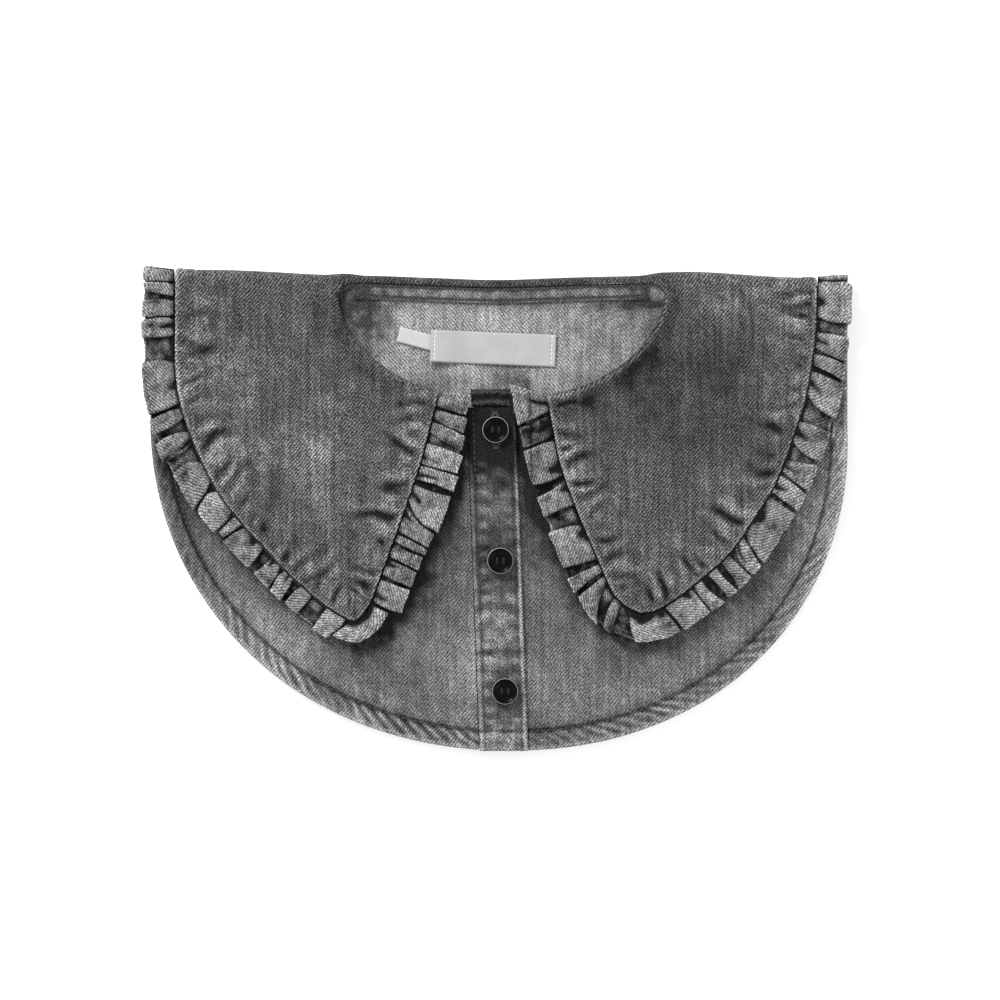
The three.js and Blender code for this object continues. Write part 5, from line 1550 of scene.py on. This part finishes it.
# %% The ribbon material
def make_ribbon(name, colour):
    material, tree, shader = new_material(name)
    cloth = tree.nodes.new("ShaderNodeUVMap")
    cloth.uv_map = "cloth"
    ribs = noise(tree, stretched(tree, cloth.outputs["UV"], (5.0, 0.8, 1)), 1.0, 2.0)
    soil = noise(tree, cloth.outputs["UV"], 0.12, 3.0)
    ribbed = remap(tree, ribs, 0.3, 0.7, -0.07, 0.05)
    soiled = remap(tree, soil, 0.3, 0.7, -0.05, 0.03)
    shade = maths(tree, "ADD", ribbed, soiled)
    dark = tuple(channel * 0.62 for channel in colour)
    mixed = blend_colours(tree, remap(tree, shade, -0.12, 0.08, 0.35, 1.0), (*dark, 1), (*colour, 1))
    bump = tree.nodes.new("ShaderNodeBump")
    tree.links.new(ribs, bump.inputs["Height"])
    bump.inputs["Distance"].default_value = 0.00008
    tree.links.new(mixed, shader.inputs["Base Color"])
    tree.links.new(remap(tree, ribs, 0.3, 0.7, 0.55, 0.75), shader.inputs["Roughness"])
    tree.links.new(bump.outputs["Normal"], shader.inputs["Normal"])
    shader.inputs["Sheen Weight"].default_value = 0.1
    return material


woven_label = make_ribbon("woven_label", grey(174, 0.004))
woven_tab = make_ribbon("woven_tab", grey(190, 0.004))
print("ribbon nodes:", len(woven_label.node_tree.nodes))


# %% How a trim is laid
TRIM_CLOTH = 1.0


def lay_trim(name, node, grid, lift, relief, edge, material, wear_and_light):
    def bottom(px, py):
        return back_top(px, py) + GAP + lift

    local = np.stack(np.meshgrid(np.arange(grid.shape[0]), np.arange(grid.shape[1]), indexing="ij"), axis=-1)
    steps = (np.linalg.norm(grid[1, 0] - grid[0, 0]), np.linalg.norm(grid[0, 1] - grid[0, 0]))
    piece = lay_cloth(name, grid, bottom, TRIM_CLOTH, relief, edge, material, wear_and_light, local * steps)
    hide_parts(node)
    return piece


def turned_grid(width, height, x, y, turn, columns, rows):
    widths, heights = np.linspace(-width / 2, width / 2, columns), np.linspace(-height / 2, height / 2, rows)
    along, across = np.meshgrid(widths, heights, indexing="ij")
    px = x + along * math.cos(turn) - across * math.sin(turn)
    py = y + along * math.sin(turn) + across * math.cos(turn)
    return np.stack([px, py], axis=-1), along, across


print("trims are", TRIM_CLOTH, "mm thick")


# %% The tape
TAPE_WIDTH = 6.3
TAPE_HALF_LENGTH = 61.5
TAPE_STITCH_DOWN = 5.2


def make_tape():
    columns, rows = 240, 15
    x = np.linspace(-TAPE_HALF_LENGTH, TAPE_HALF_LENGTH, columns)[:, None] + NECK_CENTRE + np.zeros(rows)
    drop = NECK_SEAM_DROP + NECK_SEAM_ROOM + np.linspace(0, TAPE_WIDTH, rows) + 0 * x
    grid = np.stack([x, fold_y(x, drop) - drop], axis=-1)
    down = drop - drop[:, :1]
    waves = 0.14 * np.sin(x * 2 * math.pi / 7.5 + ripple(x, drop, 20, 91) * 2) * bell(down, 3.2, 2.4)
    # A groove under the stitches, and a dark line where the tape meets the seam, a painted shadow of the
    # collar's edge.
    relief = waves - 0.3 * bell(down, 5.0, 0.5) - 0.2 * bell(down, 0.2, 0.7)
    wear_and_light = 1.1 * waves - 1.0 * bell(down, TAPE_STITCH_DOWN, 0.6) - 1.5 * bell(down, 0.0, 1.1)
    wear_and_light = wear_and_light + 0.3 * bell(down, 6.0, 0.4) - 0.5
    wear_and_light = wear_and_light - 0.75 * smooth(np.abs(x - NECK_CENTRE), 52, 61)
    edge = rounded(np.minimum(down, TAPE_WIDTH - down), 0.5)
    return lay_trim("neck_tape_cloth", "neck_tape", grid, 0, relief, edge, inside_denim, wear_and_light)


make_tape()


# %% The label
LABEL_WIDTH = 52.8
LABEL_HEIGHT = 13.6
LABEL_X = -1.4
LABEL_DROP = 27.0
LABEL_TURN = math.radians(-2.3)
TACK_IN = 1.8


def make_label():
    grid, along, across = turned_grid(LABEL_WIDTH, LABEL_HEIGHT, LABEL_X, -LABEL_DROP, LABEL_TURN, 110, 30)
    ramp = 1 - smooth(along / LABEL_WIDTH + 0.5, 0.08, 0.3)
    edge = rounded(np.minimum(LABEL_WIDTH / 2 - np.abs(along), LABEL_HEIGHT / 2 - np.abs(across)), 0.6)
    tacked = bell(np.abs(along), LABEL_WIDTH / 2 - TACK_IN, 0.5)
    relief = 0.12 * ripple(along, across * 0.5, 24, 92) - 0.25 * tacked
    lift = (TRIM_CLOTH + SEAM) * ramp
    local = np.stack([along, across], axis=-1)

    def bottom(px, py):
        return back_top(px, py) + GAP + lift

    piece = lay_cloth("label_ribbon", grid, bottom, TRIM_CLOTH, relief, edge, woven_label, 0 * along, local)
    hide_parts("label")
    return piece


label = make_label()


# %% The tab
TAB_LENGTH = 17.0
TAB_WIDTH = 6.6
TAB_TURN = math.radians(-15)
TAB_UNDER_LABEL = 3.0
TAB_ABOVE_MIDDLE = 0.12


def make_tab():
    label_left = LABEL_X - LABEL_WIDTH / 2 * math.cos(LABEL_TURN)
    x = label_left + TAB_UNDER_LABEL - TAB_LENGTH / 2 * math.cos(TAB_TURN)
    y = -LABEL_DROP + LABEL_HEIGHT * TAB_ABOVE_MIDDLE - TAB_LENGTH / 2 * math.sin(TAB_TURN)
    grid, along, across = turned_grid(TAB_LENGTH, TAB_WIDTH, x, y, TAB_TURN, 40, 18)
    edge = rounded(np.minimum(TAB_LENGTH / 2 - np.abs(along), TAB_WIDTH / 2 - np.abs(across)), 0.5)
    relief = 0.1 * ripple(along, across, 14, 93)
    return lay_trim("size_tab_ribbon", "size_tab", grid, 0, relief, edge, woven_tab, 0 * along)


tab = make_tab()

# %% [markdown]
# ## The dark facing
# At the front of the neck the under band ends in a dark strip with two thick woolly ridges, the overlocked
# edges of the facing. Thousands of loops would be needed to knit it. Two bowed ridges with a threaded wear do
# the body of it, and loose threads laid over them later break up the outline.

# %% The facing at the front of the neck
BINDING_WIDTH = 16.5
BINDING_CLOTH = 2.2
FACING_LINES = 60
FACING_ROWS = 34


def make_binding():
    widths = np.linspace(-0.5, 0.5, FACING_LINES) * BINDING_WIDTH
    ups = np.linspace(0, BINDING_HEIGHT, FACING_ROWS)
    across, up = np.meshgrid(widths, ups, indexing="ij")
    y = BIB_NECK_BOTTOM + SEAM + up
    grid = np.stack([band_middle(y) + across, y], axis=-1)
    # Two bowed ridges, with threads across them.
    woolly = up + 0.35 * ripple(across, up, 4, 96) + 0.9 * (2 * across / BINDING_WIDTH) ** 2
    ridge = 0.55 * bell(woolly, 1.7, 0.9) + 0.5 * bell(woolly, 6.2, 0.9) - 0.5 * bell(woolly, 4.0, 1.0)
    threads = 0.12 * np.sin(across * 2 * math.pi / 1.3 + 2 * ripple(across, up, 5, 95))
    relief = ridge + threads * (bell(woolly, 1.5, 0.9) + bell(woolly, 6.4, 0.8))
    wear_and_light = 0.6 * ridge + 2.6 * threads * (bell(woolly, 1.5, 0.8) + bell(woolly, 6.4, 0.7)) - 0.2
    wear_and_light = wear_and_light + 0.4 * bell(across, BINDING_WIDTH / 2 - 0.6, 0.7)
    edge = rounded(np.minimum(BINDING_WIDTH / 2 - np.abs(across), np.minimum(up, BINDING_HEIGHT - up)), 0.8)
    piece = lay_cloth("neck_facing", grid, front_bottom, BINDING_CLOTH, relief, edge, dark_binding, wear_and_light)
    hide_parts("front_neck_binding")
    return piece


binding = make_binding()

# %% [markdown]
# ## Buttons
# The buttons are turned from black resin: a dished face with four holes inside a raised, polished rim. A
# scaled cylinder would have none of that. A turned thing is a profile spun round its axis, and the holes are
# cut with slightly flared pins so that their rims catch the light as drilled ones do.


# %% The button material
DEEP_BLACK = (0.001, 0.001, 0.001, 1)
SOFT_BLACK = (0.004, 0.004, 0.0045, 1)
RIM_SHINE = (0.42, 0.42, 0.42, 1)


def make_button_material():
    material, tree, shader = new_material("button_black")
    place = tree.nodes.new("ShaderNodeTexCoord")
    haze = noise(tree, place.outputs["Object"], 900.0, 3.0)
    swirl = noise(tree, place.outputs["Object"], 260.0, 2.0)
    tree.links.new(remap(tree, haze, 0.3, 0.7, 0.12, 0.3), shader.inputs["Roughness"])
    black = blend_colours(tree, remap(tree, swirl, 0.3, 0.7, 0, 1), DEEP_BLACK, SOFT_BLACK)
    rim_shine_attribute = tree.nodes.new("ShaderNodeAttribute")
    rim_shine_attribute.attribute_name = "wear_and_light"
    # A painted highlight: a pale ring on the rim's crest for the light that its polish reflects.
    ring = remap(tree, rim_shine_attribute.outputs["Fac"], 0.35, 1.0, 0.0, 1.0)
    tree.links.new(blend_colours(tree, ring, black, RIM_SHINE), shader.inputs["Base Color"])
    shader.inputs["Specular IOR Level"].default_value = 0.08
    return material


button_black = make_button_material()
print("button material:", len(button_black.node_tree.nodes), "nodes")


# %% A profile spun round its axis
def spin(profile, sides):
    """Points and faces of a closed profile turned round the Z axis."""
    angle = np.linspace(0, 2 * math.pi, sides, endpoint=False)
    ring = np.stack([np.cos(angle), np.sin(angle)], axis=-1)
    points = [np.array([0, 0, profile[0][1]])]
    for radius, z in profile[1:-1]:
        points.extend(np.column_stack([ring * radius, np.full(sides, z)]))
    points.append(np.array([0, 0, profile[-1][1]]))
    faces, last = [], len(profile) - 2
    for k in range(sides):
        j = (k + 1) % sides
        faces.append((0, 1 + j, 1 + k))
        for row in range(last - 1):
            a, b = 1 + row * sides, 1 + (row + 1) * sides
            faces.append((a + k, a + j, b + j, b + k))
        faces.append((len(points) - 1, 1 + (last - 1) * sides + k, 1 + (last - 1) * sides + j))
    return np.array(points), faces


print("a cone of 8 sides has", len(spin([(0, 0), (1, 0), (0, 1)], 8)[1]), "faces")


# %% Turn and drill the buttons
BUTTON_DIAMETER = 11.5
BUTTON_THICKNESS = 2.6
BUTTON_RIM_WIDTH = 1.3
BUTTON_DISH = 0.8
BUTTON_HOLE_DIAMETER = 1.5
BUTTON_HOLE_PITCH = 2.7
BUTTON_SIDES = 72
BUTTON_RIM_ROW = 6
PIN_SIDES = 20


def button_seat(place):
    x, y = np.array(place[0]), np.array(place[1])
    return float(highest_near(upper_band_top, x, y)) + BAND_CROWN + SEAM


def make_button(number, place):
    r, t, w = BUTTON_DIAMETER / 2, BUTTON_THICKNESS, BUTTON_RIM_WIDTH
    dish = t - BUTTON_DISH
    profile = [(0, 0), (r * 0.7, 0), (r * 0.8, 0.08), (r * 0.95, t * 0.22), (r, t * 0.42), (r, t * 0.66)]
    profile += [(r - w * 0.1, t * 0.84), (r - w * 0.3, t * 0.96), (r - w * 0.5, t), (r - w * 0.72, t * 0.97)]
    profile += [(r - w * 0.9, t * 0.9), (r - w * 1.15, dish + 0.22), (r - w * 1.5, dish + 0.06)]
    profile += [(r * 0.5, dish + 0.02), (r * 0.2, dish), (0, dish)]
    points, faces = spin(profile, BUTTON_SIDES)
    # A painted highlight: the crest of the rim is drawn pale, for the light that its polish reflects.
    seat = np.array([*place, button_seat(place)])
    painted_rim_shine = np.zeros(len(points))
    painted_rim_shine[1 + BUTTON_RIM_ROW * BUTTON_SIDES:1 + (BUTTON_RIM_ROW + 1) * BUTTON_SIDES] = 1.0
    piece = add_piece(f"button_{number}_turned", points + seat, faces, button_black, wear_and_light=painted_rim_shine, sharp=40)
    hole = BUTTON_HOLE_DIAMETER
    pin_profile = [(0, -1), (0.45 * hole, -1), (0.45 * hole, dish - 0.35), (0.5 * hole, dish - 0.12)]
    pin_profile += [(0.72 * hole, dish + 0.15), (0.72 * hole, t + 1), (0, t + 1)]
    pin_points, pin_faces = spin(pin_profile, PIN_SIDES)
    step = BUTTON_HOLE_PITCH / 2
    all_points, all_faces = [], []
    for dx, dy in ((-step, -step), (step, -step), (step, step), (-step, step)):
        all_faces += [tuple(k + len(all_points) * len(pin_points) for k in face) for face in pin_faces]
        all_points.append(pin_points + seat + np.array([dx, dy, 0]))
    mesh = bpy.data.meshes.new("pins")
    mesh.from_pydata(((np.concatenate(all_points) + SHIFT) / 1000).tolist(), [], all_faces)
    pins = bpy.data.objects.new("pins", mesh)
    bpy.context.collection.objects.link(pins)
    cut = piece.modifiers.new("holes", "BOOLEAN")
    cut.operation = "DIFFERENCE"
    cut.solver = "EXACT"
    cut.object = pins
    depsgraph = bpy.context.evaluated_depsgraph_get()
    drilled = bpy.data.meshes.new_from_object(piece.evaluated_get(depsgraph))
    piece.modifiers.clear()
    piece.data = drilled
    bpy.data.objects.remove(pins)
    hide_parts(f"button_{number}")
    print(piece.name, len(drilled.polygons), "faces")
    return piece


for i, place in enumerate(BUTTON_PLACES):
    make_button(i + 1, place)

# %% [markdown]
# ## Threads
# Stitches are what make sewn things look sewn. Each one is a short length of thread that dips into the cloth
# at both ends. A painted dash would have no shadow, and a curve for each would be hundreds of objects. So a
# row of them is one mesh of small spindles along a path, half sunk in the groove that they pull.


# %% The thread material
def make_thread_material(name, colour):
    material, tree, shader = new_material(name)
    place = tree.nodes.new("ShaderNodeTexCoord")
    twist = noise(tree, place.outputs["Object"], 2600.0, 1.0)
    pale = tuple(channel * 2.2 for channel in colour)
    twisted = blend_colours(tree, remap(tree, twist, 0.35, 0.65, 0, 1), (*colour, 1), (*pale, 1))
    tree.links.new(twisted, shader.inputs["Base Color"])
    tree.links.new(remap(tree, twist, 0.35, 0.65, 0.6, 0.85), shader.inputs["Roughness"])
    shader.inputs["Sheen Weight"].default_value = 0.1
    return material


dark_thread = make_thread_material("dark_thread", grey(46, 0.09))
black_thread = make_thread_material("black_thread", grey(14, 0.09))
pale_thread = make_thread_material("pale_thread", grey(185, 0.01))
print("threads:", dark_thread.name, black_thread.name, pale_thread.name)


# %% Spindles along a path
SPINDLE = [(-0.5, 0.12), (-0.42, 0.6), (-0.2, 1.0), (0.2, 1.0), (0.42, 0.6), (0.5, 0.12)]
SPINDLE_SIDES = 6


def spindles(name, middles, directions, length, radius, material, sink=0.5):
    """One mesh with a spindle of thread at each middle, along its direction."""
    points, faces = [], []
    for middle, direction in zip(middles, directions):
        direction = direction / (np.linalg.norm(direction) + 1e-9)
        side = np.cross(direction, [0, 0, 1.0])
        side /= np.linalg.norm(side) + 1e-9
        up = np.cross(side, direction)
        start = len(points)
        for along, share in SPINDLE:
            drop = -sink * radius * (2 * abs(along)) ** 3
            for k in range(SPINDLE_SIDES):
                angle = 2 * math.pi * k / SPINDLE_SIDES
                offset = side * math.cos(angle) + up * math.sin(angle) * 0.8
                points.append(middle + direction * along * length + offset * radius * share + up * drop)
        last = (len(SPINDLE) - 1) * SPINDLE_SIDES
        faces.append(tuple(start + k for k in reversed(range(SPINDLE_SIDES))))
        faces.append(tuple(start + last + k for k in range(SPINDLE_SIDES)))
        for row in range(len(SPINDLE) - 1):
            a = start + row * SPINDLE_SIDES
            for k in range(SPINDLE_SIDES):
                j = (k + 1) % SPINDLE_SIDES
                faces.append((a + k, a + j, a + j + SPINDLE_SIDES, a + k + SPINDLE_SIDES))
    return add_piece(name, np.array(points), faces, material)


print("faces in a stitch:", (len(SPINDLE) - 1) * SPINDLE_SIDES + 2)


# %% Rows of stitches
# Pitch, length of a stitch and radius of the thread, in millimetres.
HEM_THREAD = (2.5, 2.2, 0.36)
BAND_THREAD = (2.4, 2.0, 0.28)
TAPE_THREAD = (2.4, 2.0, 0.26)
TACK_THREAD = (1.8, 1.4, 0.2)


def stitch_row(name, path, height, thread, material=dark_thread):
    """A row of stitches along X, Y points, at the height of the cloth there."""
    pitch, length, radius = thread
    marks = np.concatenate([[0], np.cumsum(np.linalg.norm(np.diff(path, axis=0), axis=1))])
    places = np.arange(pitch / 2, marks[-1], pitch)
    spots = np.stack([np.interp(places, marks, path[:, k]) for k in (0, 1)], axis=-1)
    ahead = np.stack([np.interp(places + 0.5, marks, path[:, k]) for k in (0, 1)], axis=-1)
    behind = np.stack([np.interp(places - 0.5, marks, path[:, k]) for k in (0, 1)], axis=-1)
    z = height(spots[:, 0], spots[:, 1])
    climb = height(ahead[:, 0], ahead[:, 1]) - height(behind[:, 0], behind[:, 1])
    directions = np.column_stack([ahead - behind, climb])
    piece = spindles(name, np.column_stack([spots, z]), directions, length, radius, material)
    print(name, len(places), "stitches")
    return piece


# %% Topstitching of the hem
HEM_POINTS = 800


def hem_path(first, last):
    rims = np.stack(outline_point(np.linspace(first, last, HEM_POINTS)), axis=-1)
    tangent = np.gradient(rims, axis=0)
    tangent /= np.linalg.norm(tangent, axis=1, keepdims=True)
    inward = np.stack([-tangent[:, 1], tangent[:, 0]], axis=-1)
    return rims + inward * STITCH_LINE * 0.97


def hem_height(x, y):
    return front_bottom(x, y) + np.where(x < band_middle(y), band_step(x, y), 0) + HEM_CLOTH - 0.42


outline_x = outline_point(TRIAL)[0]
hem_middle = float(band_middle(-190))
band_left = np.interp(hem_middle - BAND_WIDTH / 2 - 0.6, outline_x, TRIAL)
band_right = np.interp(hem_middle + BAND_WIDTH / 2 + 0.6, outline_x, TRIAL)
stitch_row("hem_stitches_left", hem_path(0.02, band_left), hem_height, HEM_THREAD)
stitch_row("hem_stitches_right", hem_path(band_right, 0.98), hem_height, HEM_THREAD)


# %% Topstitching of the button band
def band_height(x, y):
    return upper_band_top(x, y) - 0.22


band_y = np.linspace(BIB_NECK_BOTTOM - 1, -BIB_SIDE - BIB_ROUND_DEPTH + 2, 300)
band_line = np.stack([band_middle(band_y) - BAND_WIDTH / 2 + BAND_STITCH_IN, band_y], axis=-1)
stitch_row("band_stitches", band_line, band_height, BAND_THREAD)
hem_y = -BIB_SIDE - BIB_ROUND_DEPTH + STITCH_LINE
across_x = np.linspace(-BAND_WIDTH / 2 + 1, BAND_WIDTH / 2 - 1, 30) + band_middle(hem_y)
band_hem_line = np.stack([across_x, hem_y + 0 * across_x], axis=-1)
stitch_row("band_hem_stitches", band_hem_line, band_height, BAND_THREAD)


# %% Topstitching of the tape, and the tacks of the label
def trim_height(sunk, raised=0.0):
    return lambda x, y: back_top(x, y) + GAP + TRIM_CLOTH + raised - sunk


tape_x = np.linspace(-TAPE_HALF_LENGTH + 2, TAPE_HALF_LENGTH - 2, 200) + NECK_CENTRE
tape_drop = NECK_SEAM_DROP + NECK_SEAM_ROOM + TAPE_STITCH_DOWN
tape_line = np.stack([tape_x, fold_y(tape_x, tape_drop + 0 * tape_x) - tape_drop], axis=-1)
stitch_row("tape_stitches", tape_line, trim_height(0.15), TAPE_THREAD)

for end, name in ((-1, "left"), (1, "right")):
    along = end * (LABEL_WIDTH / 2 - TACK_IN)
    across = np.linspace(-LABEL_HEIGHT / 2 + 0.8, LABEL_HEIGHT / 2 - 0.8, 20)
    tack_x = LABEL_X + along * math.cos(LABEL_TURN) - across * math.sin(LABEL_TURN)
    tack_y = -LABEL_DROP + along * math.sin(LABEL_TURN) + across * math.cos(LABEL_TURN)
    raised = (TRIM_CLOTH + SEAM) * (end < 0)
    tack_line, tack_height = np.stack([tack_x, tack_y], axis=-1), trim_height(0.12, raised)
    stitch_row(f"label_tack_{name}", tack_line, tack_height, TACK_THREAD, pale_thread)

# %% [markdown]
# ## Loose threads
# An overlocked edge is fuzzy: its loops stand off the cloth every way. A hair system would be lost in the
# exported model, so a few short spindles are strewn over the facing and over the raw ends of the tape.


# %% Woolly threads on the facing and at the ends of the tape
WOOL_RADIUS = 0.2
RIDGES = (2.0, 6.4)


def wool(name, middles, spread, length, seed):
    """Short loose threads that lie every way over the given points."""
    pick = np.random.default_rng(seed)
    spots = np.repeat(np.asarray(middles, float), 2, axis=0)
    spots = spots + pick.uniform(-spread, spread, spots.shape) * [1, 1, 0.2]
    angle = pick.uniform(-0.9, 0.9, len(spots)) + (np.arange(len(spots)) % 2) * 1.4
    ways = np.stack([np.cos(angle), np.sin(angle), 0 * angle], axis=-1)
    piece = spindles(name, spots, ways, length, WOOL_RADIUS, dark_thread, 1.0)
    print(name, len(spots), "threads")
    return piece


facing_x = np.linspace(-BINDING_WIDTH / 2 + 0.8, BINDING_WIDTH / 2 - 0.8, 26)
facing_bands = []
for height_up in RIDGES:
    facing_y = BIB_NECK_BOTTOM + SEAM + height_up - 0.9 * (2 * facing_x / BINDING_WIDTH) ** 2
    facing_z = front_bottom(facing_x + band_middle(facing_y), facing_y) + BINDING_CLOTH + 0.75
    facing_bands.append(np.column_stack([facing_x + band_middle(facing_y), facing_y, facing_z]))
wool("facing_wool", np.concatenate(facing_bands), 0.7, 1.7, 131)

tape_ends = []
for side in (-1, 1):
    end_x = NECK_CENTRE + side * np.linspace(TAPE_HALF_LENGTH - 3.5, TAPE_HALF_LENGTH - 0.5, 14)
    end_drop = NECK_SEAM_DROP + NECK_SEAM_ROOM + np.linspace(1.0, 5.2, 14)
    end_y = fold_y(end_x, end_drop) - end_drop
    tape_ends.append(np.column_stack([end_x, end_y, back_top(end_x, end_y) + GAP + TRIM_CLOTH + 0.1]))
wool("tape_end_wool", np.concatenate(tape_ends), 1.0, 1.8, 132)

# %% [markdown]
# ## Buttonholes
# A buttonhole is a slit between two rows of close bar stitches that narrow at its ends. The same spindles
# make it, a little turned one by one as a machine leaves them, and three strands in each pair of holes hold
# the button.


# %% Buttonholes and the thread through the buttons
BUTTONHOLE_LENGTH = 15.5
BAR_PITCH = 0.42
BAR_LENGTH = 1.7
BAR_RADIUS = 0.27
STRAND_RADIUS = 0.15


def make_buttonhole(number, place):
    turn = BIB_TURN
    middles, directions = [], []
    pick = np.random.default_rng(100 + number)
    for along in np.arange(-BUTTONHOLE_LENGTH / 2, BUTTONHOLE_LENGTH / 2 + 0.01, BAR_PITCH):
        end = abs(along) > BUTTONHOLE_LENGTH / 2 - 1.3
        for side in (-1, 1):
            across = side * (0.55 if end else 1.15)
            x = place[0] + across * math.cos(turn) - along * math.sin(turn)
            y = place[1] + across * math.sin(turn) + along * math.cos(turn)
            z = float(upper_band_top(np.array(x), np.array(y))) + BAND_CROWN + 0.05
            middles.append(np.array([x, y, z]))
            directions.append(np.array([1.0, math.tan(turn) + pick.uniform(-0.12, 0.12), 0.0]))
    hole = spindles(f"buttonhole_{number}", middles, directions, BAR_LENGTH, BAR_RADIUS, dark_thread, 0.6)
    seat, step = button_seat(place) + BUTTON_THICKNESS - BUTTON_DISH, BUTTON_HOLE_PITCH / 2
    bars, ways = [], []
    for dx in (-step, step):
        for shift in (-0.28, 0.0, 0.28):
            bars.append(np.array([place[0] + dx + shift, place[1], seat + 0.16]))
            ways.append(np.array([pick.uniform(-0.03, 0.03), 1.0, 0.0]))
    strand = BUTTON_HOLE_PITCH + 0.7
    knot = spindles(f"button_thread_{number}", bars, ways, strand, STRAND_RADIUS, black_thread, 3.2)
    print(hole.name, len(middles), "bars")


for number, place in enumerate(BUTTON_PLACES, 1):
    make_buttonhole(number, place)

# %% [markdown]
# The tape and the tab are narrower than the least width that can be declared.


# %% [markdown]
# ## Floor and light
# A white floor and a pale sky fill the shadows, as a light tent does, and one big soft lamp high on the far
# left gives the cloth its relief. A single hard lamp would show the weave more, but its shadows would be
# black. The paper glows a little, which keeps it white right up to the hem.

# %% Floor
FLOOR_HALF = 2
FLOOR_DEPTH = -0.0002
floor_mesh = bpy.data.meshes.new("floor")
corners = [(x * FLOOR_HALF, y * FLOOR_HALF, FLOOR_DEPTH) for x, y in ((-1, -1), (1, -1), (1, 1), (-1, 1))]
floor_mesh.from_pydata(corners, [], [(0, 1, 2, 3)])
floor = bpy.data.objects.new("floor", floor_mesh)
floor_material, _, paper = new_material("paper")
paper.inputs["Base Color"].default_value = (0.93, 0.93, 0.93, 1)
paper.inputs["Roughness"].default_value = 0.9
paper.inputs["Specular IOR Level"].default_value = 0.1
paper.inputs["Emission Color"].default_value = (1, 1, 1, 1)
paper.inputs["Emission Strength"].default_value = 0.35
floor_mesh.materials.append(floor_material)
bpy.context.collection.objects.link(floor)
print("floor", 2 * FLOOR_HALF, "m wide")

# %% Light
SKY_STRENGTH = 0.62
scene = bpy.context.scene
world = bpy.data.worlds.new("studio")
scene.world = world
world.use_nodes = True
world.node_tree.nodes["Background"].inputs["Color"].default_value = (1, 1, 1, 1)
world.node_tree.nodes["Background"].inputs["Strength"].default_value = SKY_STRENGTH
scene.view_settings.view_transform = "Standard"


def add_lamp(name, place, size, power):
    data = bpy.data.lights.new(name, "AREA")
    data.shape = "DISK"
    data.size = size
    data.energy = power
    lamp = bpy.data.objects.new(name, data)
    lamp.location = place
    direction = np.array(place, float)
    lamp.rotation_euler = (
        math.acos(direction[2] / np.linalg.norm(direction)),
        0,
        math.atan2(direction[1], direction[0]) + math.pi / 2,
    )
    bpy.context.collection.objects.link(lamp)
    return lamp


add_lamp("key", place=(-0.72, 0.98, 1.0), size=0.55, power=27)
add_lamp("fill", place=(0.9, -0.6, 1.3), size=1.2, power=6)
print("lamps:", [light.name for light in bpy.data.lights])

# %% Count the triangles and finish
meshes = [piece for piece in scene.objects if piece.type == "MESH"]
counts = {piece.name: sum(len(face.vertices) - 2 for face in piece.data.polygons) for piece in meshes}
print("triangles in all:", sum(counts.values()), "most in one piece:", max(counts.values()))
